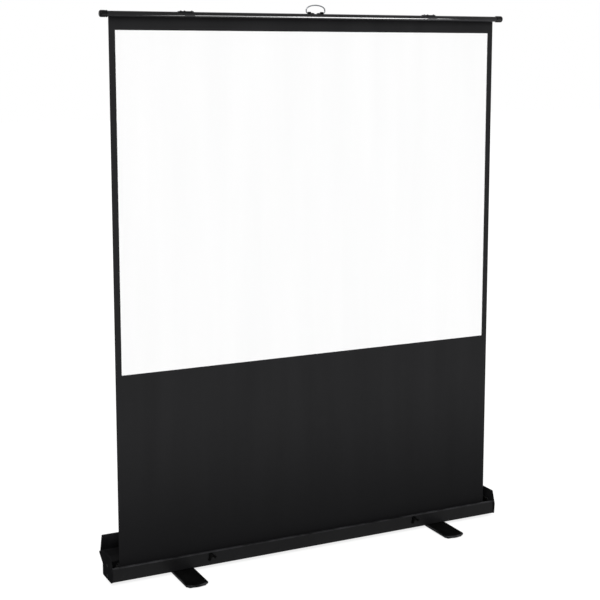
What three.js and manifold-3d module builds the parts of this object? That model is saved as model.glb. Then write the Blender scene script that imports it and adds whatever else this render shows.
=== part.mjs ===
// Floor-standing pull-up projection screen, in millimetres. +Z is up, the floor is z = 0,
// the viewer stands on the -Y side and x = 0 is the middle of the case.
import * as THREE from 'three';
import { mergeVertices } from 'three/addons/utils/BufferGeometryUtils.js';
import Module from 'manifold-3d';

const wasm = await Module();
wasm.setup();

// Fits
const RUNNING_GAP = 0.3;
const ROUND_SIDES = 16;

// Screen cloth
const CLOTH_WIDTH = 1465;
const CLOTH_THICKNESS = 0.6;
const COATING_THICKNESS = 0.2;
const VIEW_BORDER = 22;
const VIEW_HEIGHT = 1128;
const VIEW_TOP_BELOW_BAR = 51;

// Feet
const FOOT_INSET = 255.5;
const FOOT_WIDTH = 80;
const FOOT_LENGTH = 362;
const FOOT_PLATE = 8.7;
const FOOT_END_SAGITTA = 16;
const FOOT_BEVEL = 2;
const PAD_THICKNESS = 3;
const PAD_WIDTH = 64;
const PAD_LENGTH = 46;
const PAD_CORNER = 8;
const PAD_INSET = 9;
const BOLT_RADIUS = 5;
const BOLT_HEAD_RADIUS = 9;
const BOLT_HEAD_HEIGHT = 3.7;
const BOLT_FLANGE = 2.4;

// Case shell, an open trough bent from sheet
const SHELL_MARGIN = 32;
const WALL = 2;
const CASE_BOTTOM = PAD_THICKNESS + FOOT_PLATE + RUNNING_GAP;
const FRONT_Y = -44;
const FRONT_TOP = 62;
const BACK_Y = 45;
const FLARE_START = 53;
const FLARE_Y = 88;
const FLARE_TOP = 81;
const BACK_TOP_Y = 68;
const BACK_TOP = 145;
const LIP = 8;
const BACK_LIP = 4.5;
const BEND = 5;
const LIP_BEND = 4;

// Case end caps
const CAP_THICKNESS = 5;
const CAP_PROUD = 2;
const CAP_TOP = 99.5;
const CAP_TOP_FRONT = -33;
const CAP_TOP_BACK = 32;
const CAP_BULGE = 5;
const CAP_BULGE_HEIGHT = 52;
const CAP_CORNER = 5;
const CAP_SCREW_RADIUS = 2;
const CAP_SCREW_HEAD = 4.5;
const CAP_SCREW_SINK = 3;
const CAP_SCREW_SPREAD = 18;

// Roller
const ROLLER_HEIGHT = 42;
const WRAP_RADIUS = 19.7;
const ROLLER_RADIUS = 14;
const ROLLER_WALL = 1.5;
const ROLLER_OVERHANG = 4.5;
const PLUG_DEPTH = 22;
const PLUG_FLANGE = 2;
const PLUG_SHAFT = 5;
const BRACKET_THICKNESS = 8;
const BRACKET_WIDTH = 40;
const BRACKET_TOP = 66;
const BRACKET_CORNER = 6;
const MANDREL_RADIUS = 3;
const MANDREL_LENGTH = 520;
const SPRING_WIRE = 0.9;
const SPRING_TURNS = 20;
const SPRING_LENGTH = 420;
const SPRING_START = 70;
const SPRING_SIDES = 5;
const SPRING_STEPS_PER_TURN = 8;

// Top bar
const BAR_HEIGHT = 1893;
const BAR_RADIUS = 9.5;
const BAR_WALL = 1.5;
const BAR_MARGIN = 6.5;
const BAR_CAP_RADIUS = 11.5;
const BAR_CAP_LENGTH = 26;
const BAR_CAP_PLUG = 14;
const BAR_CAP_GROOVE = 1;
const BAR_CAP_GROOVE_START = 4;
const BAR_CAP_GROOVE_WIDTH = 3.5;
const CLAMP_INSET = 12.5;
const CLAMP_HEIGHT = 18;
const CLAMP_THICKNESS = 2.5;

// Lift arms and their pivots
const PIVOT_INSET = 302.5;
const BASE_PIVOT_HEIGHT = 75.5;
const ELBOW_RUN = 655;
const ARM_HEIGHT = 17;
const ARM_THICKNESS = 8;
const ARM_LAYER_GAP = 1.5;
const ARM_PLATE_GAP = 1;
const PIN_RADIUS = 4;
const PIN_HEAD_RADIUS = 6.5;
const PIN_HEAD = 2.2;
const BUSH_RADIUS = 5.3;
const BASE_PLATE_THICKNESS = 3;
const BASE_PLATE_WIDTH = 44;
const BASE_PLATE_BOTTOM = 20;

// Top brackets
const STRAP_THICKNESS = 1.6;
const STRAP_WIDTH = 36;
const STRAP_START_ANGLE = 215;
const STRAP_CORNER = 3;
const STRAP_ARC_STEPS = 10;
const EAR_DROP = 11;
const FLANGE_WING = 20;
const FLANGE_DEPTH = 14;
const STRAP_SCREW_RADIUS = 1.8;
const STRAP_SCREW_HEAD = 3.2;
const STRAP_SCREW_HEAD_HEIGHT = 1.8;
const STRAP_SCREW_SPREAD = 25;
const STRAP_SCREW_SHIFT = -2.5;
const STRAP_SCREW_DEPTH = 4;

// Carrying bail
const BAIL_WIDTH = 75;
const BAIL_HEIGHT = 30.6;
const BAIL_WIRE = 2.25;
const BAIL_SHOULDER = 10;
const BAIL_CORNER = 6;
const BAIL_SIDES = 8;
const BAIL_STEPS = 48;
const LUG_RADIUS = 3.8;
const LUG_LENGTH = 11;
const LUG_LIFT = 2.6;
const LUG_FOOT = 4;
const LUG_TAB = 12;
const LUG_TAB_HEIGHT = 2;

// Catches on the front wall
const CATCH_INSET = 355.5;
const CATCH_HEIGHT = 50;
const CATCH_HUB = 8;
const CATCH_THICKNESS = 5;
const CATCH_LEG_WIDTH = 8;
const CATCH_LEG_REACH = 21;
const CATCH_LEG_ANGLES = [-30, -112];
const CATCH_SCREW_RADIUS = 2;
const CATCH_SCREW_HEAD = 4;
const CATCH_SCREW_HEAD_HEIGHT = 2.2;

// Places that follow from the sizes above
const CLOTH_BACK = -(WRAP_RADIUS + RUNNING_GAP);
const CLOTH_FRONT = CLOTH_BACK - CLOTH_THICKNESS;
const BAR_Y = CLOTH_FRONT - BAR_RADIUS - RUNNING_GAP - COATING_THICKNESS;
const CLOTH_TOP = BAR_HEIGHT + CLAMP_HEIGHT / 2;
const CLOTH_END = CLOTH_WIDTH / 2;
const SHELL_END = CLOTH_END + SHELL_MARGIN;
const BAR_END = CLOTH_END + BAR_MARGIN;
const FOOT_X = SHELL_END - FOOT_INSET;
const CATCH_X = SHELL_END - CATCH_INSET;
const CASE_FLOOR = CASE_BOTTOM + WALL;
const ROLLER_END = CLOTH_END + ROLLER_OVERHANG;
const ROLLER_BORE = ROLLER_RADIUS - ROLLER_WALL;
const PLATE_BACK = BACK_Y - WALL;
const LAYER_FRONT = PLATE_BACK + ARM_PLATE_GAP;
const LAYER_BACK = LAYER_FRONT + ARM_THICKNESS + ARM_LAYER_GAP;
const PIN_BORE = PIN_RADIUS + RUNNING_GAP;
const PIVOT_X = SHELL_END - PIVOT_INSET;
const ELBOW_X = ELBOW_RUN - PIVOT_X;
const ELBOW_RISE = (BAR_HEIGHT - BASE_PIVOT_HEIGHT) / 2;
const ARM_LENGTH = Math.hypot(ELBOW_RUN, ELBOW_RISE);
const LIFT_ANGLE = Math.atan2(ELBOW_RISE, ELBOW_RUN);
const ELBOW_HEIGHT = BASE_PIVOT_HEIGHT + ELBOW_RISE;
const STRAP_INNER = BAR_RADIUS + RUNNING_GAP;
const STRAP_TOP = BAR_HEIGHT + STRAP_INNER + STRAP_THICKNESS;
const EAR_FRONT = PLATE_BACK - STRAP_THICKNESS;
const STRAP_SCREW_OFFSETS = [
  -(STRAP_WIDTH + FLANGE_WING) / 2,
  STRAP_SCREW_SHIFT - STRAP_SCREW_SPREAD / 2,
  STRAP_SCREW_SHIFT + STRAP_SCREW_SPREAD / 2,
];
const BAIL_AXIS = BAR_HEIGHT + BAR_RADIUS + LUG_LIFT;
const BAIL_REACH = BAIL_WIDTH / 2 - BAIL_WIRE;
const BAIL_BEND_X = BAIL_REACH - BAIL_CORNER;
const LUG_OUTER = BAIL_BEND_X - RUNNING_GAP;
const LUG_INNER = LUG_OUTER - LUG_LENGTH;
const BAIL_END = LUG_INNER + RUNNING_GAP;

const FINISHES = {
  coated: { color: 0x1d1d1e, roughness: 0.42, metalness: 0.1 },
  plastic: { color: 0x1a1a1b, roughness: 0.5, metalness: 0 },
  enamel: { color: 0x141415, roughness: 0.18, metalness: 0.1 },
  cloth: { color: 0x262627, roughness: 0.9, metalness: 0 },
  white: { color: 0xfafafa, roughness: 0.85, metalness: 0 },
  rubber: { color: 0x101010, roughness: 0.9, metalness: 0 },
  zinc: { color: 0xb4b7ba, roughness: 0.35, metalness: 0.9 },
  chrome: { color: 0xc8cacc, roughness: 0.15, metalness: 1 },
  blackened: { color: 0x17171a, roughness: 0.4, metalness: 0.7 },
};

const screen = new THREE.Group();
screen.name = 'pull_up_projection_screen';

function addPart(name, geometry, finish, parent = screen) {
  const mesh = new THREE.Mesh(closed(geometry), new THREE.MeshStandardMaterial(FINISHES[finish]));
  mesh.name = name;
  parent.add(mesh);
  return mesh;
}

// Solid helpers

// Merges shared vertices, drops flat triangles and turns the faces outward.
function closed(geometry) {
  const bare = new THREE.BufferGeometry();
  bare.setAttribute('position', geometry.getAttribute('position').clone());
  if (geometry.index) {
    bare.setIndex(geometry.index.clone());
  }
  const merged = mergeVertices(bare, 1e-4);
  const place = merged.getAttribute('position');
  const [a, b, c] = [new THREE.Vector3(), new THREE.Vector3(), new THREE.Vector3()];
  const kept = [];
  let volume = 0;
  for (let i = 0; i < merged.index.count; i += 3) {
    const corner = [0, 1, 2].map((k) => merged.index.getX(i + k));
    if (new Set(corner).size < 3) {
      continue;
    }
    a.fromBufferAttribute(place, corner[0]);
    b.fromBufferAttribute(place, corner[1]);
    c.fromBufferAttribute(place, corner[2]);
    volume += a.dot(b.cross(c));
    kept.push(corner);
  }
  merged.setIndex(kept.flatMap(([p, q, r]) => (volume < 0 ? [p, r, q] : [p, q, r])));
  return merged;
}

function toSolid(geometry) {
  const ready = closed(geometry);
  const vertProperties = new Float32Array(ready.getAttribute('position').array);
  const triVerts = new Uint32Array(ready.index.array);
  return new wasm.Manifold(new wasm.Mesh({ numProp: 3, vertProperties, triVerts }));
}

function fromSolid(solid) {
  const { vertProperties, triVerts } = solid.getMesh();
  const geometry = new THREE.BufferGeometry();
  geometry.setAttribute('position', new THREE.BufferAttribute(new Float32Array(vertProperties), 3));
  geometry.setIndex(new THREE.BufferAttribute(new Uint32Array(triVerts), 1));
  return geometry;
}

function join(first, ...others) {
  return fromSolid(others.reduce((solid, other) => solid.add(toSolid(other)), toSolid(first)));
}

function cut(body, tools) {
  return fromSolid(tools.reduce((solid, tool) => solid.subtract(toSolid(tool)), toSolid(body)));
}

// Outline helpers

// Replaces each corner [u, v, radius] of a line by an arc. A closed line has a corner at each point.
function rounded(corners, isClosed = false) {
  const points = [];
  const count = corners.length;
  corners.forEach(([u, v, radius = 0], i) => {
    const here = new THREE.Vector2(u, v);
    const isEnd = !isClosed && (i === 0 || i === count - 1);
    if (isEnd || radius === 0) {
      points.push(here);
      return;
    }
    const before = new THREE.Vector2(...corners[(i + count - 1) % count].slice(0, 2));
    const after = new THREE.Vector2(...corners[(i + 1) % count].slice(0, 2));
    const back = before.sub(here).normalize();
    const ahead = after.sub(here).normalize();
    const half = Math.acos(THREE.MathUtils.clamp(back.dot(ahead), -1, 1)) / 2;
    const reach = radius / Math.tan(half);
    const centre = back.clone().add(ahead).normalize().multiplyScalar(radius / Math.sin(half)).add(here);
    const start = here.clone().addScaledVector(back, reach).sub(centre);
    const end = here.clone().addScaledVector(ahead, reach).sub(centre);
    const turn = Math.atan2(start.cross(end), start.dot(end));
    const steps = Math.max(2, Math.ceil(Math.abs(turn) / (Math.PI / 8)));
    for (let k = 0; k <= steps; k += 1) {
      points.push(start.clone().rotateAround(new THREE.Vector2(), (turn * k) / steps).add(centre));
    }
  });
  return points;
}

// A strip of even thickness to the left of a line of points.
function strip(points, thickness) {
  const direction = points.slice(1).map((point, i) => point.clone().sub(points[i]).normalize());
  const side = points.map((point, i) => {
    const before = direction[Math.max(i - 1, 0)];
    const after = direction[Math.min(i, direction.length - 1)];
    const across = new THREE.Vector2(-before.y - after.y, before.x + after.x).normalize();
    const stretch = thickness / across.dot(new THREE.Vector2(-after.y, after.x));
    return point.clone().addScaledVector(across, stretch);
  });
  return new THREE.Shape([...points, ...side.reverse()]);
}

function rectangle(width, height, radius) {
  const [u, v] = [width / 2, height / 2];
  const corners = [[-u, -v], [u, -v], [u, v], [-u, v]];
  return new THREE.Shape(rounded(corners.map((corner) => [...corner, radius]), true));
}

// The cross-section of a round wire.
function wireSection(radius, sides) {
  const circle = new THREE.Path().absarc(0, 0, radius, 0, 2 * Math.PI);
  return new THREE.Shape(circle.getSpacedPoints(sides).slice(0, sides));
}

// Solids from outlines

function extrude(shape, depth, options = {}) {
  return new THREE.ExtrudeGeometry(shape, { depth, bevelEnabled: false, curveSegments: 8, ...options });
}

// The outline is (y, z) and runs from x = from to x = to.
function alongX(shape, from, to) {
  const turn = new THREE.Matrix4().makeBasis(
    new THREE.Vector3(0, 1, 0), new THREE.Vector3(0, 0, 1), new THREE.Vector3(1, 0, 0));
  return extrude(shape, to - from).applyMatrix4(turn).translate(from, 0, 0);
}

// The outline is (x, z) and runs from y = from to y = to.
function alongY(shape, from, to) {
  return extrude(shape, to - from).rotateX(Math.PI / 2).translate(0, to, 0);
}

// The outline is (x, y) and runs from z = from to z = to.
function alongZ(shape, from, to) {
  return extrude(shape, to - from).translate(0, 0, from);
}

// A turned solid about X, Y or Z from a profile of [radius, distance along the axis].
function turned(profile, axis, sides = ROUND_SIDES) {
  const points = profile.map(([radius, along]) => new THREE.Vector2(radius, along));
  const solid = new THREE.LatheGeometry(points, sides);
  if (axis === 'x') {
    solid.rotateZ(-Math.PI / 2);
  }
  if (axis === 'z') {
    solid.rotateX(Math.PI / 2);
  }
  return solid;
}

function rod(radius, from, to, axis) {
  return turned([[0, from], [radius, from], [radius, to], [0, to]], axis);
}

function sleeve(inner, outer, from, to, axis) {
  return turned([[inner, from], [outer, from], [outer, to], [inner, to], [inner, from]], axis);
}

function box(x0, x1, y0, y1, z0, z1) {
  const solid = new THREE.BoxGeometry(x1 - x0, y1 - y0, z1 - z0);
  return solid.translate((x0 + x1) / 2, (y0 + y1) / 2, (z0 + z1) / 2);
}

const SIDES = [['left', -1], ['right', 1]];

// Case

function shellGeometry() {
  const line = rounded([
    [FRONT_Y + LIP, FRONT_TOP],
    [FRONT_Y, FRONT_TOP, LIP_BEND],
    [FRONT_Y, CASE_BOTTOM, BEND],
    [BACK_Y, CASE_BOTTOM, BEND],
    [BACK_Y, FLARE_START, BEND],
    [FLARE_Y, FLARE_TOP, BEND],
    [BACK_TOP_Y, BACK_TOP, LIP_BEND],
    [BACK_TOP_Y - BACK_LIP, BACK_TOP],
  ]);
  const holes = SIDES.flatMap(([, side]) => [
    rod(BOLT_RADIUS + RUNNING_GAP, CASE_BOTTOM - WALL, CASE_FLOOR + WALL, 'z')
      .translate(side * FOOT_X, 0, 0),
    rod(CATCH_SCREW_RADIUS + RUNNING_GAP, FRONT_Y - WALL, FRONT_Y + 2 * WALL, 'y')
      .translate(side * CATCH_X, 0, CATCH_HEIGHT),
  ]);
  return cut(alongX(strip(line, WALL), -SHELL_END, SHELL_END), holes);
}

function capScrewPlaces() {
  return [-1, 1].map((way) => ROLLER_HEIGHT + way * CAP_SCREW_SPREAD);
}

// The right end cap. The left one is its mirror image.
function endCapGeometry() {
  const outline = rounded([
    [FRONT_Y - CAP_PROUD, CASE_BOTTOM, CAP_CORNER],
    [FRONT_Y - CAP_BULGE, CAP_BULGE_HEIGHT, CAP_CORNER],
    [CAP_TOP_FRONT, CAP_TOP, CAP_CORNER],
    [CAP_TOP_BACK, CAP_TOP, CAP_CORNER],
    [FLARE_Y + CAP_PROUD, FLARE_TOP, CAP_CORNER],
    [BACK_Y + CAP_PROUD, FLARE_START - CAP_PROUD, CAP_CORNER],
    [BACK_Y + CAP_PROUD, CASE_BOTTOM, CAP_CORNER],
  ], true);
  const outer = SHELL_END + CAP_THICKNESS;
  const holes = capScrewPlaces().flatMap((height) => [
    rod(CAP_SCREW_RADIUS + RUNNING_GAP, SHELL_END - WALL, outer + WALL, 'x').translate(0, 0, height),
    rod(CAP_SCREW_HEAD + RUNNING_GAP, outer - CAP_SCREW_SINK, outer + WALL, 'x').translate(0, 0, height),
  ]);
  return cut(alongX(new THREE.Shape(outline), SHELL_END, outer), holes);
}

function capScrewGeometry() {
  const outer = SHELL_END + CAP_THICKNESS - RUNNING_GAP;
  const headStart = SHELL_END + CAP_THICKNESS - CAP_SCREW_SINK + RUNNING_GAP;
  const tip = SHELL_END - BRACKET_THICKNESS;
  return turned([
    [0, tip], [CAP_SCREW_RADIUS, tip], [CAP_SCREW_RADIUS, headStart],
    [CAP_SCREW_HEAD, headStart], [CAP_SCREW_HEAD, outer], [0, outer],
  ], 'x');
}

function rollerBracketGeometry() {
  const height = BRACKET_TOP - CASE_FLOOR;
  const outline = rectangle(BRACKET_WIDTH, height, BRACKET_CORNER);
  const plate = alongX(outline, SHELL_END - BRACKET_THICKNESS, SHELL_END)
    .translate(0, 0, (BRACKET_TOP + CASE_FLOOR) / 2);
  const [from, to] = [SHELL_END - BRACKET_THICKNESS - WALL, SHELL_END + WALL];
  const holes = [
    rod(PLUG_SHAFT + RUNNING_GAP, from, to, 'x').translate(0, 0, ROLLER_HEIGHT),
    ...capScrewPlaces().map((z) => rod(CAP_SCREW_RADIUS + RUNNING_GAP, from, to, 'x').translate(0, 0, z)),
  ];
  return cut(plate, holes);
}

function mirrored(geometry, side) {
  return side > 0 ? geometry : geometry.scale(-1, 1, 1);
}

function addCase() {
  addPart('case_shell', shellGeometry(), 'coated');
  for (const [name, side] of SIDES) {
    addPart(`end_cap_${name}`, mirrored(endCapGeometry(), side), 'plastic');
    addPart(`roller_bracket_${name}`, mirrored(rollerBracketGeometry(), side), 'blackened');
    capScrewPlaces().forEach((height, i) => {
      const screw = mirrored(capScrewGeometry(), side).translate(0, 0, height);
      addPart(`end_cap_screw_${name}_${i + 1}`, screw, 'blackened');
    });
  }
}

// Feet

function footShape() {
  const half = FOOT_WIDTH / 2;
  const radius = (half ** 2 + FOOT_END_SAGITTA ** 2) / (2 * FOOT_END_SAGITTA);
  const centre = FOOT_LENGTH / 2 - radius;
  const start = Math.acos(half / radius);
  const shape = new THREE.Shape();
  shape.absarc(0, centre, radius, start, Math.PI - start);
  shape.absarc(0, -centre, radius, Math.PI + start, 2 * Math.PI - start);
  shape.closePath();
  return shape;
}

function footGeometry() {
  const plate = extrude(footShape(), FOOT_PLATE - 2 * FOOT_BEVEL, {
    bevelEnabled: true,
    bevelThickness: FOOT_BEVEL,
    bevelSize: FOOT_BEVEL,
    bevelOffset: -FOOT_BEVEL,
    bevelSegments: 1,
  }).translate(0, 0, PAD_THICKNESS + FOOT_BEVEL);
  const top = PAD_THICKNESS + FOOT_PLATE + WALL;
  const seat = PAD_THICKNESS + BOLT_FLANGE + 2 * RUNNING_GAP;
  return cut(plate, [
    rod(BOLT_RADIUS + RUNNING_GAP, 0, top, 'z'),
    rod(BOLT_HEAD_RADIUS + RUNNING_GAP, 0, seat, 'z'),
  ]);
}

function footBoltGeometry() {
  const bottom = PAD_THICKNESS + RUNNING_GAP;
  const flangeTop = bottom + BOLT_FLANGE;
  const headStart = CASE_FLOOR + RUNNING_GAP;
  const top = headStart + BOLT_HEAD_HEIGHT;
  return turned([
    [0, bottom], [BOLT_HEAD_RADIUS, bottom], [BOLT_HEAD_RADIUS, flangeTop], [BOLT_RADIUS, flangeTop],
    [BOLT_RADIUS, headStart], [BOLT_HEAD_RADIUS, headStart], [BOLT_HEAD_RADIUS, top], [0, top],
  ], 'z');
}

function addFeet() {
  const padY = FOOT_LENGTH / 2 - PAD_INSET - PAD_LENGTH / 2;
  for (const [name, side] of SIDES) {
    const foot = new THREE.Group();
    foot.position.x = side * FOOT_X;
    screen.add(foot);
    addPart(`foot_${name}`, footGeometry(), 'coated', foot);
    for (const [end, way] of [['front', -1], ['back', 1]]) {
      const pad = alongZ(rectangle(PAD_WIDTH, PAD_LENGTH, PAD_CORNER), 0, PAD_THICKNESS);
      addPart(`foot_pad_${name}_${end}`, pad.translate(0, way * padY, 0), 'rubber', foot);
    }
    addPart(`foot_bolt_${name}`, footBoltGeometry(), 'zinc', foot);
  }
}

// Catches

function catchGeometry() {
  const [from, to] = [FRONT_Y - RUNNING_GAP - CATCH_THICKNESS, FRONT_Y - RUNNING_GAP];
  const legs = CATCH_LEG_ANGLES.map((degrees) => {
    const tip = CATCH_LEG_WIDTH / 4;
    const half = CATCH_LEG_WIDTH / 2;
    const shape = new THREE.Shape(rounded([
      [0, -half], [CATCH_LEG_REACH, -half, tip], [CATCH_LEG_REACH, half, tip], [0, half],
    ], true));
    return alongY(shape, from, to).rotateY(-THREE.MathUtils.degToRad(degrees));
  });
  const bore = rod(CATCH_SCREW_RADIUS + RUNNING_GAP, from - WALL, to + WALL, 'y');
  return cut(join(rod(CATCH_HUB, from, to, 'y'), ...legs), [bore]);
}

function catchScrewGeometry() {
  const front = FRONT_Y - 2 * RUNNING_GAP - CATCH_THICKNESS;
  const tip = FRONT_Y + 2 * WALL;
  return turned([
    [0, front - CATCH_SCREW_HEAD_HEIGHT], [CATCH_SCREW_HEAD, front - CATCH_SCREW_HEAD_HEIGHT],
    [CATCH_SCREW_HEAD, front], [CATCH_SCREW_RADIUS, front], [CATCH_SCREW_RADIUS, tip], [0, tip],
  ], 'y');
}

function addCatches() {
  for (const [name, side] of SIDES) {
    const place = new THREE.Group();
    place.position.set(side * CATCH_X, 0, CATCH_HEIGHT);
    screen.add(place);
    addPart(`turn_catch_${name}`, catchGeometry(), 'plastic', place);
    addPart(`catch_screw_${name}`, catchScrewGeometry(), 'blackened', place);
  }
}

// Roller

// The right plug. A hollow plug lets the fixed mandrel through.
function plugGeometry(bore) {
  const inner = ROLLER_END - PLUG_DEPTH;
  const tip = SHELL_END - RUNNING_GAP;
  const body = ROLLER_BORE - RUNNING_GAP;
  const flange = ROLLER_END + RUNNING_GAP + PLUG_FLANGE;
  const outer = [
    [body, inner], [body, ROLLER_END + RUNNING_GAP], [ROLLER_RADIUS, ROLLER_END + RUNNING_GAP],
    [ROLLER_RADIUS, flange], [PLUG_SHAFT, flange], [PLUG_SHAFT, tip],
  ];
  const profile = [[bore, inner], ...outer, [bore, tip]];
  return turned(bore > 0 ? [...profile, [bore, inner]] : profile, 'x');
}

function springCurve() {
  const radius = MANDREL_RADIUS + RUNNING_GAP + SPRING_WIRE;
  class Helix extends THREE.Curve {
    getPoint(t, target = new THREE.Vector3()) {
      const angle = 2 * Math.PI * SPRING_TURNS * t;
      return target.set(SPRING_LENGTH * t, radius * Math.cos(angle), radius * Math.sin(angle));
    }
  }
  return new Helix();
}

// The least distance between turns of a tube along a curve, measured on points.
function leastSelfGap(curve, turns, wire, pointsPerTurn = 24) {
  const points = curve.getPoints(turns * pointsPerTurn);
  let least = Infinity;
  points.forEach((point, i) => {
    for (let k = i + pointsPerTurn / 2; k < points.length; k += 1) {
      least = Math.min(least, point.distanceTo(points[k]) - 2 * wire);
    }
  });
  return least;
}

function springGeometry() {
  const curve = springCurve();
  const gap = leastSelfGap(curve, SPRING_TURNS, SPRING_WIRE);
  console.log(`roller_spring least gap to itself: ${gap.toFixed(2)} mm`);
  return new THREE.ExtrudeGeometry(wireSection(SPRING_WIRE, SPRING_SIDES), {
    steps: SPRING_TURNS * SPRING_STEPS_PER_TURN,
    extrudePath: curve,
  });
}

function addRoller() {
  const roller = new THREE.Group();
  roller.position.z = ROLLER_HEIGHT;
  screen.add(roller);
  addPart('roller_tube', sleeve(ROLLER_BORE, ROLLER_RADIUS, -ROLLER_END, ROLLER_END, 'x'), 'coated', roller);
  const wrap = sleeve(ROLLER_RADIUS + RUNNING_GAP, WRAP_RADIUS, -CLOTH_END, CLOTH_END, 'x');
  addPart('fabric_wrap', wrap, 'cloth', roller);
  addPart('roller_plug_left', mirrored(plugGeometry(MANDREL_RADIUS + RUNNING_GAP), -1), 'plastic', roller);
  addPart('roller_plug_right', plugGeometry(0), 'plastic', roller);
  const mandrelStart = -SHELL_END + RUNNING_GAP;
  const mandrel = rod(MANDREL_RADIUS, mandrelStart, mandrelStart + MANDREL_LENGTH, 'x');
  addPart('spring_mandrel', mandrel, 'zinc', roller);
  const spring = springGeometry().translate(mandrelStart + SPRING_START, 0, 0);
  addPart('roller_spring', spring, 'blackened', roller);
}

// Cloth

function addCloth() {
  const cloth = box(-CLOTH_END, CLOTH_END, CLOTH_FRONT, CLOTH_BACK, ROLLER_HEIGHT, CLOTH_TOP);
  addPart('screen_fabric', cloth, 'cloth');
  const viewTop = BAR_HEIGHT - VIEW_TOP_BELOW_BAR;
  const viewEnd = CLOTH_END - VIEW_BORDER;
  const white = box(-viewEnd, viewEnd, CLOTH_FRONT - COATING_THICKNESS, CLOTH_FRONT,
    viewTop - VIEW_HEIGHT, viewTop);
  addPart('viewing_surface', white, 'white');
}

// Top bar

// The right end cap of the bar: a plug in the tube, a groove and a rounded outer end.
function barCapGeometry() {
  const plug = BAR_RADIUS - BAR_WALL - RUNNING_GAP;
  const start = BAR_END;
  const end = start + BAR_CAP_LENGTH;
  const round = BAR_CAP_RADIUS / 2;
  const groove = BAR_CAP_RADIUS - BAR_CAP_GROOVE;
  const grooveStart = start + BAR_CAP_GROOVE_START;
  const grooveEnd = grooveStart + BAR_CAP_GROOVE_WIDTH;
  const profile = [
    [0, start - BAR_CAP_PLUG], [plug, start - BAR_CAP_PLUG], [plug, start], [BAR_CAP_RADIUS, start],
    [BAR_CAP_RADIUS, grooveStart], [groove, grooveStart + BAR_CAP_GROOVE],
    [groove, grooveEnd - BAR_CAP_GROOVE], [BAR_CAP_RADIUS, grooveEnd],
  ];
  for (let step = 0; step <= 4; step += 1) {
    const angle = (step * Math.PI) / 8;
    const shrink = round * (1 - Math.cos(angle));
    profile.push([BAR_CAP_RADIUS - shrink, end - round + round * Math.sin(angle)]);
  }
  return turned([...profile, [0, end]], 'x');
}

function strapScrewPlaces(side) {
  return STRAP_SCREW_OFFSETS.map((offset) => side * PIVOT_X + offset);
}

function barTubeGeometry() {
  const tube = sleeve(BAR_RADIUS - BAR_WALL, BAR_RADIUS, -BAR_END, BAR_END, 'x');
  const holes = SIDES.flatMap(([, side]) => strapScrewPlaces(side).map((x) =>
    rod(STRAP_SCREW_RADIUS + RUNNING_GAP, BAR_RADIUS / 2, 2 * BAR_RADIUS, 'z').translate(x, 0, 0)));
  return cut(tube, holes).translate(0, BAR_Y, BAR_HEIGHT);
}

// A bent strap: it hooks over the front of the bar, runs back over the top and hangs down as an ear.
// A flat wing lies on the bar at its left.
function topBracketGeometry() {
  const line = [];
  const start = THREE.MathUtils.degToRad(STRAP_START_ANGLE);
  for (let step = 0; step <= STRAP_ARC_STEPS; step += 1) {
    const angle = start + ((Math.PI / 2 - start) * step) / STRAP_ARC_STEPS;
    const spoke = new THREE.Vector2(Math.cos(angle), Math.sin(angle)).multiplyScalar(STRAP_INNER);
    line.push(spoke.add(new THREE.Vector2(BAR_Y, BAR_HEIGHT)));
  }
  const top = line[line.length - 1];
  const ear = rounded([
    [top.x, top.y], [EAR_FRONT, top.y, STRAP_CORNER], [EAR_FRONT, BAR_HEIGHT - EAR_DROP],
  ]).slice(1);
  const strap = alongX(strip([...line, ...ear], STRAP_THICKNESS), -STRAP_WIDTH / 2, STRAP_WIDTH / 2);
  const flange = box(-STRAP_WIDTH / 2 - FLANGE_WING, STRAP_WIDTH / 2 - STRAP_CORNER,
    BAR_Y - FLANGE_DEPTH / 2, BAR_Y + FLANGE_DEPTH / 2, top.y, STRAP_TOP);
  const holes = STRAP_SCREW_OFFSETS.map((offset) =>
    rod(STRAP_SCREW_RADIUS + RUNNING_GAP, top.y - STRAP_THICKNESS, STRAP_TOP + STRAP_THICKNESS, 'z')
      .translate(offset, BAR_Y, 0));
  const pivot = rod(PIN_BORE, EAR_FRONT - STRAP_THICKNESS, PLATE_BACK + STRAP_THICKNESS, 'y')
    .translate(0, 0, BAR_HEIGHT);
  return cut(join(strap, flange), [...holes, pivot]);
}

function strapScrewGeometry() {
  const seat = STRAP_TOP + RUNNING_GAP;
  const tip = BAR_HEIGHT + BAR_RADIUS - STRAP_SCREW_DEPTH;
  const top = seat + STRAP_SCREW_HEAD_HEIGHT;
  return turned([
    [0, tip], [STRAP_SCREW_RADIUS, tip], [STRAP_SCREW_RADIUS, seat],
    [STRAP_SCREW_HEAD, seat], [STRAP_SCREW_HEAD, top], [0, top],
  ], 'z');
}

function addTopBar() {
  addPart('top_bar_tube', barTubeGeometry(), 'enamel');
  const clampFront = CLOTH_BACK + RUNNING_GAP;
  const clampEnd = CLOTH_END - CLAMP_INSET;
  const clamp = box(-clampEnd, clampEnd, clampFront, clampFront + CLAMP_THICKNESS,
    BAR_HEIGHT - CLAMP_HEIGHT / 2, BAR_HEIGHT + CLAMP_HEIGHT / 2);
  addPart('fabric_clamp_strip', clamp, 'zinc');
  for (const [name, side] of SIDES) {
    const cap = mirrored(barCapGeometry(), side).translate(0, BAR_Y, BAR_HEIGHT);
    addPart(`bar_cap_${name}`, cap, 'plastic');
    addPart(`top_bracket_${name}`, topBracketGeometry().translate(side * PIVOT_X, 0, 0), 'coated');
    strapScrewPlaces(side).forEach((x, i) => {
      addPart(`bracket_screw_${name}_${i + 1}`, strapScrewGeometry().translate(x, BAR_Y, 0), 'blackened');
    });
  }
}

// Carrying bail

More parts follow.
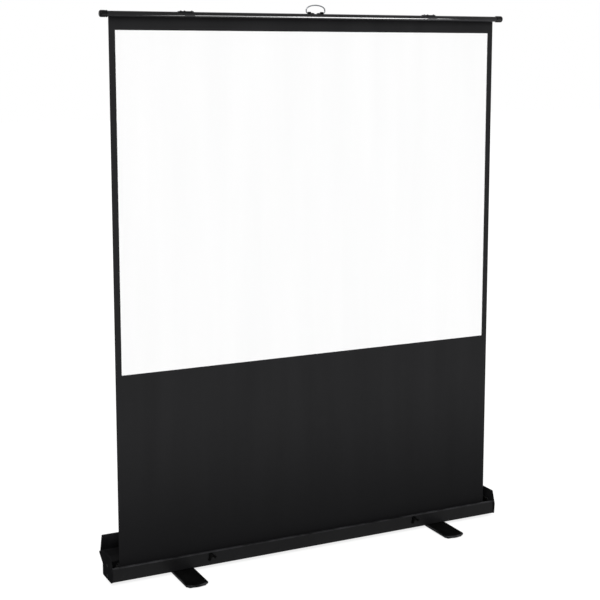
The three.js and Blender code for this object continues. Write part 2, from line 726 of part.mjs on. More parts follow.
// A saddle over the end of the wire, with a flat tab on the bar beside it.
function lugGeometry() {
  const barTop = BAR_HEIGHT + BAR_RADIUS;
  const [front, back] = [BAR_Y - LUG_RADIUS, BAR_Y + LUG_RADIUS];
  const knuckle = rod(LUG_RADIUS, LUG_INNER, LUG_OUTER, 'x').translate(0, BAR_Y, BAIL_AXIS);
  const foot = box(LUG_INNER, LUG_OUTER, front, back, barTop - LUG_FOOT, BAIL_AXIS);
  const tab = box(LUG_INNER - LUG_TAB, LUG_INNER + BAIL_WIRE, front, back, barTop - LUG_FOOT,
    barTop + LUG_TAB_HEIGHT);
  const bar = rod(BAR_RADIUS + RUNNING_GAP, 0, LUG_OUTER + LUG_LENGTH, 'x').translate(0, BAR_Y, BAR_HEIGHT);
  const room = BAIL_WIRE + RUNNING_GAP;
  const bore = rod(room, LUG_INNER, LUG_OUTER + LUG_LENGTH, 'x').translate(0, BAR_Y, BAIL_AXIS);
  const slot = box(LUG_INNER, LUG_OUTER + LUG_LENGTH, BAR_Y - room, BAR_Y + room,
    barTop - 2 * LUG_FOOT, BAIL_AXIS);
  return cut(join(knuckle, foot, tab), [bar, bore, slot]);
}

// One wire: a stub in each lug, round shoulders and an arched top.
function bailGeometry() {
  const rise = BAIL_HEIGHT - LUG_LIFT - BAIL_WIRE - BAIL_SHOULDER;
  const path = new THREE.Path();
  path.moveTo(-BAIL_END, 0);
  path.lineTo(-BAIL_BEND_X, 0);
  path.absarc(-BAIL_BEND_X, BAIL_CORNER, BAIL_CORNER, -Math.PI / 2, -Math.PI, true);
  path.lineTo(-BAIL_REACH, BAIL_SHOULDER);
  path.absellipse(0, BAIL_SHOULDER, BAIL_REACH, rise, Math.PI, 0, true);
  path.lineTo(BAIL_REACH, BAIL_CORNER);
  path.absarc(BAIL_BEND_X, BAIL_CORNER, BAIL_CORNER, 0, -Math.PI / 2, true);
  path.lineTo(BAIL_END, 0);
  const points = path.getSpacedPoints(BAIL_STEPS).map((point) => new THREE.Vector3(point.x, 0, point.y));
  return new THREE.ExtrudeGeometry(wireSection(BAIL_WIRE, BAIL_SIDES), {
    steps: BAIL_STEPS,
    extrudePath: new THREE.CatmullRomCurve3(points),
  }).translate(0, BAR_Y, BAIL_AXIS);
}

function addBail() {
  for (const [name, side] of SIDES) {
    addPart(`handle_mount_${name}`, mirrored(lugGeometry(), side), 'plastic');
  }
  addPart('handle_bail', bailGeometry(), 'chrome');
}

// Lift arms

function armGeometry(layer) {
  const half = ARM_HEIGHT / 2;
  const shape = new THREE.Shape();
  shape.absarc(0, 0, half, Math.PI / 2, (3 * Math.PI) / 2);
  shape.absarc(ARM_LENGTH, 0, half, -Math.PI / 2, Math.PI / 2);
  for (const centre of [0, ARM_LENGTH]) {
    shape.holes.push(new THREE.Path().absarc(centre, 0, PIN_BORE, 0, 2 * Math.PI));
  }
  return extrude(shape, ARM_THICKNESS, { curveSegments: 8 })
    .rotateX(Math.PI / 2).translate(0, layer + ARM_THICKNESS, 0);
}

// A pin along Y with a head at one end or both.
function pinGeometry(from, to, frontHead, backHead) {
  const front = frontHead
    ? [[0, from - PIN_HEAD], [PIN_HEAD_RADIUS, from - PIN_HEAD], [PIN_HEAD_RADIUS, from]]
    : [[0, from]];
  const back = backHead
    ? [[PIN_HEAD_RADIUS, to], [PIN_HEAD_RADIUS, to + PIN_HEAD], [0, to + PIN_HEAD]]
    : [[0, to]];
  return turned([...front, [PIN_RADIUS, from], [PIN_RADIUS, to], ...back], 'y');
}

function basePlateGeometry() {
  const half = BASE_PLATE_WIDTH / 2;
  const shape = new THREE.Shape();
  shape.moveTo(-half, BASE_PLATE_BOTTOM);
  shape.lineTo(half, BASE_PLATE_BOTTOM);
  shape.lineTo(half, FLARE_START - BEND);
  shape.lineTo(PIN_HEAD_RADIUS * 2, BASE_PIVOT_HEIGHT);
  shape.absarc(0, BASE_PIVOT_HEIGHT, PIN_HEAD_RADIUS * 2, 0, Math.PI);
  shape.closePath();
  shape.holes.push(new THREE.Path().absarc(0, BASE_PIVOT_HEIGHT, PIN_BORE, 0, 2 * Math.PI));
  return alongY(shape, PLATE_BACK - BASE_PLATE_THICKNESS, PLATE_BACK);
}

function addPivots() {
  const bushBack = LAYER_BACK - RUNNING_GAP;
  const bush = () => sleeve(PIN_BORE, BUSH_RADIUS, PLATE_BACK + RUNNING_GAP, bushBack, 'y');
  const basePinFront = PLATE_BACK - BASE_PLATE_THICKNESS - RUNNING_GAP;
  const topPinFront = EAR_FRONT - RUNNING_GAP;
  const frontLayerEnd = LAYER_FRONT + ARM_THICKNESS + RUNNING_GAP;
  const backLayerEnd = LAYER_BACK + ARM_THICKNESS + RUNNING_GAP;
  const place = (geometry, side, height) => geometry.translate(side * PIVOT_X, 0, height);

  for (const [name, side] of SIDES) {
    addPart(`base_bracket_${name}`, basePlateGeometry().translate(side * PIVOT_X, 0, 0), 'coated');
  }
  const basePinLeft = pinGeometry(basePinFront, frontLayerEnd, true, false);
  addPart('base_pin_left', place(basePinLeft, -1, BASE_PIVOT_HEIGHT), 'zinc');
  const basePinRight = pinGeometry(basePinFront, backLayerEnd, true, true);
  addPart('base_pin_right', place(basePinRight, 1, BASE_PIVOT_HEIGHT), 'zinc');
  addPart('base_spacer_right', place(bush(), 1, BASE_PIVOT_HEIGHT), 'plastic');

  const topPinLeft = pinGeometry(topPinFront, backLayerEnd, true, true);
  addPart('top_pin_left', place(topPinLeft, -1, BAR_HEIGHT), 'zinc');
  addPart('top_spacer_left', place(bush(), -1, BAR_HEIGHT), 'plastic');
  const topPinRight = pinGeometry(topPinFront, frontLayerEnd, true, false);
  addPart('top_pin_right', place(topPinRight, 1, BAR_HEIGHT), 'zinc');
}

// Each knee leans to the far side: the lower arm rises to its elbow and the upper arm comes back.
function addArms() {
  const layers = { left: [LAYER_FRONT, LAYER_BACK], right: [LAYER_BACK, LAYER_FRONT] };
  for (const [name, side] of SIDES) {
    const inward = side < 0 ? -LIFT_ANGLE : LIFT_ANGLE - Math.PI;
    const outward = side < 0 ? LIFT_ANGLE - Math.PI : -LIFT_ANGLE;
    const elbow = [-side * ELBOW_X, 0, ELBOW_HEIGHT];

    const lower = new THREE.Group();
    lower.position.set(side * PIVOT_X, 0, BASE_PIVOT_HEIGHT);
    lower.rotation.y = inward;
    screen.add(lower);
    addPart(`lower_arm_${name}`, armGeometry(layers[name][0]), 'coated', lower);

    const upper = new THREE.Group();
    upper.position.set(...elbow);
    upper.rotation.y = outward;
    screen.add(upper);
    addPart(`upper_arm_${name}`, armGeometry(layers[name][1]), 'coated', upper);

    const pinEnd = LAYER_BACK + ARM_THICKNESS + RUNNING_GAP;
    const pin = pinGeometry(LAYER_FRONT - RUNNING_GAP, pinEnd, true, true);
    addPart(`elbow_pin_${name}`, pin.translate(...elbow), 'zinc');
  }
}

addCase();
addFeet();
addCatches();
addRoller();
addCloth();
addTopBar();
addBail();
addPivots();
addArms();

export default screen;
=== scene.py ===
"""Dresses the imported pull-up projection screen, lights it and sets the camera.

Shapes are worked out in millimetres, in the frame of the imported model: +Z up, the viewer on the -Y side.
"""
import math

import bmesh
import bpy
from mathutils import Matrix, Vector


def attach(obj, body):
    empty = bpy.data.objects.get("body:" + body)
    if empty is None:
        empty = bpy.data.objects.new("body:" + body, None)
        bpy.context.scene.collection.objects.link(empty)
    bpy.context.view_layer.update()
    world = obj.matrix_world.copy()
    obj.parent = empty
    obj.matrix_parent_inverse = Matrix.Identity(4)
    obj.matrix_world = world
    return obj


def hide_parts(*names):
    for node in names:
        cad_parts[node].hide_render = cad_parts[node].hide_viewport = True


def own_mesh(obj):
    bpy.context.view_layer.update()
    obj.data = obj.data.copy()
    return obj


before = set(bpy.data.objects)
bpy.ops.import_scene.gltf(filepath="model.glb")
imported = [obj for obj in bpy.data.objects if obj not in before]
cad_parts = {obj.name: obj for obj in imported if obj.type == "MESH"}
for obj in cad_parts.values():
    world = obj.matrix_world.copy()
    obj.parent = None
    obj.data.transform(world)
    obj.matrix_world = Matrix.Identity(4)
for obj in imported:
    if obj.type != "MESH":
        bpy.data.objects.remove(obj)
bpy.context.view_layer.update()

MM = 0.001
SIDES = (("left", -1), ("right", 1))

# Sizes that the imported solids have
GAP = 0.3
CLOTH_END = 732.5
CLOTH_THICKNESS = 0.6
CLOTH_BACK = -20.0
CLOTH_FRONT = CLOTH_BACK - CLOTH_THICKNESS
CLOTH_BOTTOM = 42.0
CLOTH_TOP = 1902.0
VIEW_END = 710.5
VIEW_BOTTOM = 714.0
VIEW_TOP = 1842.0
VIEW_COATING = 0.2

SHELL_END = 764.5
WALL = 2.0
CASE_BOTTOM = 12.0
CASE_BACK = 45.0
FRONT_TOP = 62.0
BACK_TOP = 145.0
CASE_BENDS = (
    (-36, FRONT_TOP, 0), (-44, FRONT_TOP, 4), (-44, CASE_BOTTOM, 5), (CASE_BACK, CASE_BOTTOM, 5),
    (CASE_BACK, 53, 5), (88, 81, 5), (68, BACK_TOP, 4), (63.5, BACK_TOP, 0),
)
CAP_CORNERS = (
    (-46, CASE_BOTTOM, 5), (47, CASE_BOTTOM, 5), (47, 51, 5), (90, 81, 5), (32, 99.5, 5), (-33, 99.5, 5),
    (-49, 52, 5),
)
CAP_THICKNESS = 5.0
CAP_SCREW_HEIGHTS = (24.0, 60.0)
CAP_SCREW_HOLE = 4.8
CAP_SCREW_SINK = 2.7
BEARER_SIZE = (40.0, 52.0)
BEARER_CENTRE = (0.0, 40.0)
BEARER_DEPTH = 8.0
BEARER_BORE = 5.3
SCREW_BORE = 2.3

BAR_Y = -30.6
BAR_HEIGHT = 1893.0
BAR_RADIUS = 9.5
BAR_WALL = 1.5
BAR_END = 739.0
BAR_CAP_RADIUS = 11.5
BAR_CAP_LENGTH = 26.0
BAR_CAP_NOSE = 5.75
BAR_PLUG_RADIUS = 7.7
BAR_PLUG_DEPTH = 14.0
STRIP_SIZE = (1440.0, 18.0)
STRIP_BACK = -17.2
STRIP_FRONT = -19.7
BAIL_AXIS = 1905.1
BAIL_REACH = 35.25
BAIL_BEND = 6.0
BAIL_SHOULDER = 10.0
BAIL_RISE = 15.75
BAIL_WIRE = 2.25
LUG_INNER = 17.95
LUG_OUTER = 28.95
LUG_RADIUS = 3.8
LUG_TAB = 12.0
LUG_TAB_HEIGHT = 2.0
STRAP_THICKNESS = 1.6
STRAP_HALF_WIDTH = 18.0
STRAP_SCREWS = (-28.0, -15.0, 10.0)
WING_LEFT = -38.0
WING_RIGHT = 15.0
WING_DEPTH = 14.0
EAR_DROP = 11.0

PIVOT_X = 462.0
BASE_PIVOT = 75.5
ELBOW_X = 193.0
ELBOW_HEIGHT = 984.25
ARM_HALF = 8.5
PIN_RADIUS = 4.0
PIN_BORE = 4.3
PIN_HEAD = 6.5
PIN_HEAD_HEIGHT = 2.2
BUSH_RADIUS = 5.3
FRONT_LAYER = (44.0, 52.0)
BACK_LAYER = (53.5, 61.5)
PIN_FRONT = FRONT_LAYER[0] - GAP
SHORT_PIN_END = FRONT_LAYER[1] + GAP
LONG_PIN_END = BACK_LAYER[1] + GAP
PLATE_BACK = 43.0
CHEEK_THICKNESS = 3.0
CHEEK_HALF_WIDTH = 22.0
CHEEK_BOTTOM = 20.0
CHEEK_SHOULDER = 48.0
CHEEK_RADIUS = 13.0

ROLLER_HEIGHT = 42.0
ROLLER_END = 737.0
ROLLER_RADIUS = 14.0
ROLLER_BORE = 12.5
WRAP_RADIUS = 19.7
PLUG_DEPTH = 22.0
PLUG_FLANGE = 2.0
PLUG_SHAFT = 5.0
MANDREL_RADIUS = 3.0
MANDREL_LENGTH = 520.0
SPRING_START = 70.0

FOOT_X = 509.0
FOOT_HALF_WIDTH = 40.0
FOOT_HALF_LENGTH = 181.0
FOOT_SAGITTA = 16.0
FOOT_BOTTOM = 3.0
FOOT_TOP = 11.7
FOOT_BORE = 9.3
PAD_Y = 149.0
PAD_SIZE = (64.0, 46.0)
BOLT_HEAD = 9.0
BOLT_STEM = 5.0
BOLT_FLANGE_TOP = 5.7
BOLT_TOP = 18.0
CATCH_X = 409.0
CATCH_HEIGHT = 50.0
CATCH_BACK = -44.3
CATCH_FRONT = -49.3

# Sizes of detail that only the pieces here have
# Heights between which the painted shade at the cloth's foot fades out
SHADE_FADE_START = -60.0
SHADE_FADE_END = 620.0
CLOTH_GRID = 25.0
LIP_DEPTH = 4.0
CAP_RIM = 5.0
CAP_FIELD_SINK = 0.8
CAP_RIM_DEPTH = 2.8
FINE_EDGE = 0.5
CAP_GROOVE = ((0.0, 4.0), (1.0, 5.0), (1.0, 6.5), (0.0, 7.5))
STRIP_RIVET_PITCH = 110.0
CHEEK_RIVET_X = 14.0
CHEEK_RIVET_HEIGHT = 33.0
TURNED_EDGE = 0.6
WING_SINK = 0.05
BOLT_CHAMFER = (1.5, 0.7)
TIP_SHADOW = 0.5
PAD_BOTTOM = 0.9
RIB_HEIGHT = 1.4
RIB_PITCH = 5.6


# Materials


def linear(code):
    """An sRGB hex colour as linear red, green, blue and alpha."""
    parts = [int(code[i:i + 2], 16) / 255 for i in (1, 3, 5)]
    return (*[c / 12.92 if c <= 0.04045 else ((c + 0.055) / 1.055) ** 2.4 for c in parts], 1.0)


def add(tree, kind, inputs=None, **settings):
    """Adds a node, sets its properties, and sets or links its inputs."""
    node = tree.nodes.new(kind)
    for key, value in settings.items():
        setattr(node, key, value)
    for key, value in (inputs or {}).items():
        if isinstance(value, bpy.types.NodeSocket):
            tree.links.new(value, node.inputs[key])
        else:
            node.inputs[key].default_value = value
    return node


def output(tree, kind, inputs=None, **settings):
    """Adds a node and returns its first output."""
    return add(tree, kind, inputs, **settings).outputs[0]


def empty_tree(owner):
    """The node tree of a material or a world, with nothing in it."""
    owner.use_nodes = True
    owner.node_tree.nodes.clear()
    return owner.node_tree


def blank(name, slot, gloss=None, **sockets):
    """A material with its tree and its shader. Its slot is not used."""
    material = bpy.data.materials.new(name)
    tree = empty_tree(material)
    if gloss is not None:
        sockets["Specular IOR Level"] = gloss
    shader = add(tree, "ShaderNodeBsdfPrincipled", sockets)
    add(tree, "ShaderNodeOutputMaterial", {"Surface": shader.outputs[0]})
    return material, tree, shader


def maths(tree, operation, *values):
    return output(tree, "ShaderNodeMath", dict(enumerate(values)), operation=operation)


def vector(tree, **parts):
    return output(tree, "ShaderNodeCombineXYZ", parts)


def ranged(tree, value, low, high, first=0.0, last=1.0, **settings):
    """The value, taken from one range to another."""
    return output(tree, "ShaderNodeMapRange", {0: value, 1: low, 2: high, 3: first, 4: last}, **settings)


def noise(tree, place, size, detail):
    """Noise that changes over about so many millimetres."""
    return output(tree, "ShaderNodeTexNoise", {"Vector": place, "Scale": 1 / (size * MM), "Detail": detail})


def mixed(tree, share, first, second):
    """A colour between two others."""
    return add(tree, "ShaderNodeMix", {0: share, 6: first, 7: second}, data_type="RGBA").outputs[2]


def finished(tree, shader, colour, spread, height, depth, strength):
    """Links a colour, a roughness and a relief to the shader."""
    bump = {"Height": height, "Distance": depth * MM, "Strength": strength}
    relief = output(tree, "ShaderNodeBump", bump)
    for key, value in (("Base Color", colour), ("Roughness", spread), ("Normal", relief)):
        tree.links.new(value, shader.inputs[key])


def grained(name, slot, dark, light, wear_and_highlight, relief, rough, **sockets):
    """A hard finish, paler where a piece has marked edges: wear along its edges, and a painted highlight on
    the end faces of the feet.

    The relief gives the sizes of its patches of tone and of its grain, and the depth of the grain.
    """
    patch, grain, depth = relief
    material, tree, shader = blank(name, slot, **sockets)
    place = add(tree, "ShaderNodeTexCoord").outputs["Object"]
    patches = noise(tree, place, patch, 4.0)
    tone = ranged(tree, patches, 0.35, 0.65)
    edge = add(tree, "ShaderNodeAttribute", attribute_name="edge").outputs["Fac"]
    # The edge colour is wear, and on the feet's end faces a painted highlight.
    edge_mark = maths(tree, "MULTIPLY", edge, tone)
    colour = mixed(tree, edge_mark, mixed(tree, tone, linear(dark), linear(light)), linear(wear_and_highlight))
    spread = ranged(tree, patches, 0.3, 0.7, *rough)
    finished(tree, shader, colour, spread, noise(tree, place, grain, 2.0), depth, 0.6)
    return material


def woven(name, slot, dark, light, painted_shade, relief, rough, **sockets):
    """Coated cloth: a plain weave with faint streaks down it, and a painted shade that darkens it towards
    its foot.

    The relief gives the pitch and the depth of the threads.
    """
    pitch, depth = relief
    material, tree, shader = blank(name, slot, **sockets)
    place = output(tree, "ShaderNodeUVMap", uv_map="weave")
    threads = {"Vector": place, "Scale": math.tau / 20 / (pitch * MM)}
    warp, weft = (add(tree, "ShaderNodeTexWave", threads, bands_direction=way).outputs[1] for way in "XY")
    weave = maths(tree, "MULTIPLY", warp, weft)
    drawn = output(tree, "ShaderNodeMapping", {"Vector": place, "Scale": (1.0, 0.08, 1.0)})
    tone = ranged(tree, noise(tree, drawn, 90, 3.0), 0.3, 0.7)
    thread = maths(tree, "MULTIPLY_ADD", weave, 0.25, tone)
    colour = mixed(tree, thread, linear(dark), linear(light))
    # Painted shade: the cloth is darker towards its foot.
    if painted_shade:
        height = add(tree, "ShaderNodeSeparateXYZ", {0: place}).outputs["Y"]
        unshaded_share = ranged(tree, height, SHADE_FADE_START * MM, SHADE_FADE_END * MM, interpolation_type="SMOOTHSTEP")
        colour = mixed(tree, unshaded_share, linear(painted_shade), colour)
    finished(tree, shader, colour, ranged(tree, weave, 0.0, 1.0, *rough), weave, depth, 0.5)
    return material


def drawn_metal(name, slot, dark, light, line, rough):
    """Metal with fine lines along the piece, from the die or the brush, on the piece's own flat map."""
    material, tree, shader = blank(name, slot, Metallic=1.0)
    place = output(tree, "ShaderNodeUVMap", uv_map="flat")
    along = output(tree, "ShaderNodeMapping", {"Vector": place, "Scale": (0.01, 1.0, 1.0)})
    lines = noise(tree, along, line, 4.0)
    tone = maths(tree, "MULTIPLY", lines, noise(tree, place, 40, 3.0))
    colour = mixed(tree, ranged(tree, tone, 0.12, 0.4), linear(dark), linear(light))
    finished(tree, shader, colour, ranged(tree, lines, 0.0, 1.0, *rough), lines, 0.02, 0.4)
    return material


# Black powder coat on bent steel: satin, with a slight orange peel, and paler where it is rubbed.
CASE_COAT = grained(
    "powder_coat_case", "case_coating", "#0f0f10", "#121213", "#2b2b2d",
    (60, 2.2, 0.05), (0.36, 0.44), gloss=0.1)
# The same coat on the flat feet, which lie low and look nearly dead black. Its pale edge colour is wear
# along the edges, and a painted highlight on the end faces.
FOOT_COAT = grained(
    "powder_coat_feet", "foot_coating", "#050505", "#080808", "#3a3a3c",
    (45, 2.2, 0.02), (0.42, 0.5), gloss=0.06)
# Stove enamel on the top tube: smooth and glossy, for long clean lines of light.
BAR_ENAMEL = grained(
    "stove_enamel_bar", "bar_enamel", "#070708", "#0a0a0b", "#1a1a1b",
    (80, 6.0, 0.002), (0.05, 0.09), gloss=0.16, **{"Coat Weight": 0.03, "Coat Roughness": 0.08})
# Black ABS from a spark-eroded mould: an even fine grain with no gloss.
MOULDED_ABS = grained(
    "moulded_abs", "cap_plastic", "#161617", "#19191a", "#232324",
    (30, 1.4, 0.03), (0.6, 0.7), gloss=0.0)
# Black nylon from a smooth mould: deeper than the coat beside it, with a soft sheen.
MOULDED_NYLON = grained(
    "moulded_nylon", "cap_plastic", "#030303", "#050505", "#0e0e0e",
    (20, 1.8, 0.01), (0.3, 0.38), gloss=0.02)
# The same nylon on the bar's caps, polished, so the line along the bar runs on over them.
POLISHED_NYLON = grained(
    "polished_nylon", "cap_plastic", "#040404", "#060606", "#0e0e0e",
    (40, 3.0, 0.004), (0.26, 0.32), gloss=0.07)
# Black rubber: dull, with a dusty bloom.
PAD_RUBBER = grained(
    "moulded_rubber", "pad_rubber", "#0c0c0c", "#161615", "#1f1f1e",
    (9, 1.0, 0.06), (0.75, 0.9), gloss=0.15)
# Zinc plate on turned steel: a pale grey metal with a slightly cloudy shine.
ZINC_STEEL = grained(
    "zinc_plated_steel", "zinc_steel", "#9a9da1", "#b7babd", "#c9cbcd",
    (7, 0.8, 0.008), (0.26, 0.42), Metallic=1.0)
# Steel blackened in oil: dark, with a thin metallic glint.
BLACK_STEEL = grained(
    "blackened_steel", "black_screw", "#0b0b0c", "#141415", "#29292b",
    (5, 0.7, 0.01), (0.34, 0.5), Metallic=0.4, gloss=0.15)
# The same steel with a lacquer, on the case's screws: as deep as the mouldings that they hold.
LACQUERED_STEEL = grained(
    "lacquered_steel", "black_screw", "#030303", "#050505", "#0c0c0d",
    (5, 0.7, 0.01), (0.3, 0.4), gloss=0.03)
# Bright plate on spring wire: a clear mirror with a faint ripple from the drawing die.
BRIGHT_WIRE = grained(
    "bright_plated_wire", "bail_chrome", "#737578", "#87898c", "#b9bbbd",
    (12, 3.0, 0.006), (0.1, 0.18), Metallic=1.0)
# Graphite anodised flat bar: a dark grey metal with lines along its length.
GRAPHITE_ANODISED = drawn_metal(
    "graphite_anodised_bar", "arm_coating", "#47484a", "#5c5d60", 0.9, (0.34, 0.48))
# Aluminium strip as it comes from the mill: bright lines along its length.
MILL_ALUMINIUM = drawn_metal(
    "mill_aluminium_strip", "aluminium_strip", "#9fa1a3", "#c2c4c6", 0.7, (0.28, 0.42))
# Black cloth coated on both sides: matt, and darker towards its foot as painted shade from the case. The
# threads are drawn at 2 mm to show.
BLACK_CLOTH = woven(
    "coated_black_cloth", "black_cloth", "#222223", "#262627", "#111112",
    (2.0, 0.08), (0.7, 0.85), gloss=0.05)
# Matt white viewing coat over the same cloth: an even white with the weave just showing through.
WHITE_COAT = woven(
    "matt_white_coat", "white_surface", "#f9f9f9", "#fcfcfc", None,
    (2.0, 0.03), (0.85, 0.95), gloss=0.1)


# Outlines, as lists of flat points

def arc(centre, radius, start, end, steps):
    """Points along an arc, with the angles in degrees."""
    angles = [math.radians(start + (end - start) * i / steps) for i in range(steps + 1)]
    return [(centre[0] + radius * math.cos(a), centre[1] + radius * math.sin(a)) for a in angles]


def circle(centre, radius, steps=48):
    return arc(centre, radius, 0, 360, steps)[:-1]


def rounded(corners, closed=True, steps=7):
    """Replaces each corner (u, v, radius) by an arc. An open line keeps its two ends."""
    points = []
    last = len(corners) - 1
    for i, (u, v, radius) in enumerate(corners):
        here = Vector((u, v))
        if radius == 0 or (not closed and i in (0, last)):
            points.append((u, v))
            continue
        back = (Vector(corners[i - 1][:2]) - here).normalized()
        ahead = (Vector(corners[(i + 1) % len(corners)][:2]) - here).normalized()
        half = back.angle(ahead) / 2
        centre = here + (back + ahead).normalized() * (radius / math.sin(half))
        start = here + back * (radius / math.tan(half)) - centre
        turn = start.angle_signed(here + ahead * (radius / math.tan(half)) - centre)
        for k in range(steps + 1):
            points.append(tuple(centre + Matrix.Rotation(-turn * k / steps, 2) @ start))
    return points


def rectangle(width, height, radius, centre=(0, 0)):
    u, v = width / 2, height / 2
    corners = [(-u, -v), (u, -v), (u, v), (-u, v)]
    return [(centre[0] + a, centre[1] + b) for a, b in rounded([(*c, radius) for c in corners])]


def side_steps(points, closed):
    """For each point, the step to its left that keeps an even distance from the line."""
    count = len(points)
    steps = []
    for i, point in enumerate(points):
        here = Vector(point)
        before = Vector(points[i - 1]) if closed or i > 0 else None
        after = Vector(points[(i + 1) % count]) if closed or i < count - 1 else None
        ways = [(b - a).normalized() for a, b in ((before, here), (here, after)) if a and b]
        lefts = [Vector((-way.y, way.x)) for way in ways]
        across = sum(lefts, Vector((0.0, 0.0))).normalized()
        steps.append(across / max(across.dot(lefts[-1]), 0.3))
    return steps


def grown_outline(points, distance):
    """The closed outline moved outwards all round. The points run anticlockwise."""
    return [tuple(Vector(p) - s * distance) for p, s in zip(points, side_steps(points, True))]


def ribbon(points, thickness):
    """A closed outline of even thickness to the left of a line."""
    left = [tuple(Vector(p) + s * thickness) for p, s in zip(points, side_steps(points, False))]
    return points + left[::-1]


# Meshes in millimetres

AXES = {"x": Vector((1, 0, 0)), "y": Vector((0, 1, 0)), "z": Vector((0, 0, 1))}
# A narrow flat edge beside each bend or bevel, which keeps the face next to it evenly shaded.
FLAT_MARGIN = 0.15


def smooth(mesh, angle=32):
    mesh.shade_smooth()
    mesh.set_sharp_from_angle(angle=math.radians(angle))
    return mesh


def from_bmesh(bm):
    bmesh.ops.recalc_face_normals(bm, faces=bm.faces)
    mesh = bpy.data.meshes.new("mesh")
    bm.to_mesh(mesh)
    bm.free()
    return smooth(mesh)


def joined(*meshes):
    bm = bmesh.new()
    for mesh in meshes:
        bm.from_mesh(mesh)
    bm.to_mesh(meshes[0])
    bm.free()
    return smooth(meshes[0])


def round_ring(bm, middle, across, other, radius, sides):
    """Corners round a point, in the plane of two directions."""
    angles = [math.tau * i / sides for i in range(sides)]
    return [bm.verts.new(middle + (across * math.cos(a) + other * math.sin(a)) * radius) for a in angles]


def bands(bm, rings):
    """Faces between each ring of corners and the next. A ring can be one corner."""
    for one, two in zip(rings, rings[1:]):
        count = max(len(one), len(two))
        for i in range(count):
            k = (i + 1) % count
            corners = [one[i % len(one)], one[k % len(one)], two[k % len(two)], two[i % len(two)]]
            kept = list(dict.fromkeys(corners))
            if len(kept) > 2:
                bm.faces.new(kept)


def flat_end(bm, ring):
    """Faces across a ring of corners that runs out along one side and back along the other."""
    for i in range(len(ring) // 2 - 1):
        bm.faces.new((ring[i], ring[i + 1], ring[-i - 2], ring[-i - 1]))


def plate(outlines, low, high, bevel, axes="xy", origin=(0, 0, 0), steps=3):
    """A plate with rounded edges between two heights over a plane.

    The first outline is its rim, and the others are holes.
    """
    u, v = [AXES[letter] for letter in axes] if isinstance(axes, str) else axes
    normal = u.cross(v)
    bm = bmesh.new()
    edge = bm.verts.layers.float.new("edge")
    flat = bm.loops.layers.uv.new("flat")
    turns = [math.radians(90 * k / steps) for k in range(steps + 1)]
    rise = [(bevel + FLAT_MARGIN, low, 0.0)]
    rise += [(bevel * (1 - math.sin(t)), low + bevel * (1 - math.cos(t)), math.sin(2 * t)) for t in turns]
    levels = rise + [(inset, low + high - height, wear) for inset, height, wear in reversed(rise)]
    caps = [[], []]
    places = {}
    for number, outline in enumerate(outlines):
        rings = []
        for inset, height, wear in levels:
            ring = []
            for a, b in grown_outline(outline, inset if number else -inset):
                vert = bm.verts.new(Vector(origin) + u * a + v * b + normal * height)
                vert[edge] = wear
                places[vert] = (a * MM, b * MM)
                ring.append(vert)
            rings.append(ring)
        bands(bm, rings)
        caps[0].append(rings[0])
        caps[1].append(rings[-1])
    for rings in caps:
        if len(rings) == 1:
            bm.faces.new(rings[0])
            continue
        rim = [bm.edges.get((ring[i - 1], ring[i])) for ring in rings for i in range(len(ring))]
        bmesh.ops.triangle_fill(bm, edges=rim, use_beauty=True)
    for face in bm.faces:
        for loop in face.loops:
            loop[flat].uv = places[loop.vert]
    return from_bmesh(bm)


def guarded(line, longest=6.0):
    """The line, with a point close to each end of its long straight runs."""
    points = [line[0]]
    for a, b in zip(line, line[1:]):
        run = Vector(b) - Vector(a)
        if run.length > longest:
            step = run.normalized() * FLAT_MARGIN
            points += [tuple(Vector(a) + step), tuple(Vector(b) - step)]
        points.append(b)
    return points


def bent_sheet(line, thickness, start, end, edge_mark=None):
    """A sheet along X, bent along a (y, z) line. Points for which edge_mark(y, z) holds are marked for edge
    wear.
    """
    outline = ribbon(line, thickness)
    bm = bmesh.new()
    edge = bm.verts.layers.float.new("edge")
    ends = []
    for x in (start, end):
        ring = [bm.verts.new((x, y, z)) for y, z in outline]
        for vert, (y, z) in zip(ring, outline):
            vert[edge] = float(bool(edge_mark and edge_mark(y, z)))
        ends.append(ring)
    bands(bm, ends)
    for ring in ends:
        flat_end(bm, ring)
    return from_bmesh(bm)


def turned(profile, axis, centre=(0, 0, 0), sides=64):
    """A turned piece from (radius, distance) pairs. A profile that starts off the axis closes on itself."""
    along, across = AXES[axis], AXES["x" if axis == "z" else "z"]
    other = along.cross(across)
    bm = bmesh.new()
    rings = []
    for radius, distance in profile:
        middle = Vector(centre) + along * distance
        rings.append(round_ring(bm, middle, across, other, radius, sides if radius else 1))
    if profile[0][0] > 0:
        rings.append(rings[0])
    bands(bm, rings)
    return from_bmesh(bm)


def swept(points, radius, sides=24):
    """A round wire along a line of points, closed at both ends."""
    line = [Vector(p) for p in points]
    bm = bmesh.new()
    rings = []
    side = None
    for i, here in enumerate(line):
        way = (line[min(i + 1, len(line) - 1)] - line[max(i - 1, 0)]).normalized()
        side = (side - way * side.dot(way)).normalized() if side else way.orthogonal().normalized()
        rings.append(round_ring(bm, here, side, way.cross(side), radius, sides))
    bands(bm, rings)
    bm.faces.new(rings[0])
    bm.faces.new(rings[-1])
    return from_bmesh(bm)


def mirrored(mesh, side):
    """The mesh as it is for the right side, or its mirror image in x for the left one."""
    if side < 0:
        mesh.transform(Matrix.Scale(-1, 4, (1, 0, 0)))
        mesh.flip_normals()
    return mesh


# Repeated pieces, grown by node trees

def new_tree(name, *sizes):
    """A node tree that takes points and named sizes, and gives a mesh. Returns it with its inputs."""
    tree = bpy.data.node_groups.new(name, "GeometryNodeTree")
    kinds = {"Points": "Geometry", **dict.fromkeys(sizes, "Float"), "Finish": "Material"}
    for label, kind in kinds.items():
        tree.interface.new_socket(label, in_out="INPUT", socket_type="NodeSocket" + kind)
    tree.interface.new_socket("Mesh", in_out="OUTPUT", socket_type="NodeSocketGeometry")
    return tree, add(tree, "NodeGroupInput").outputs


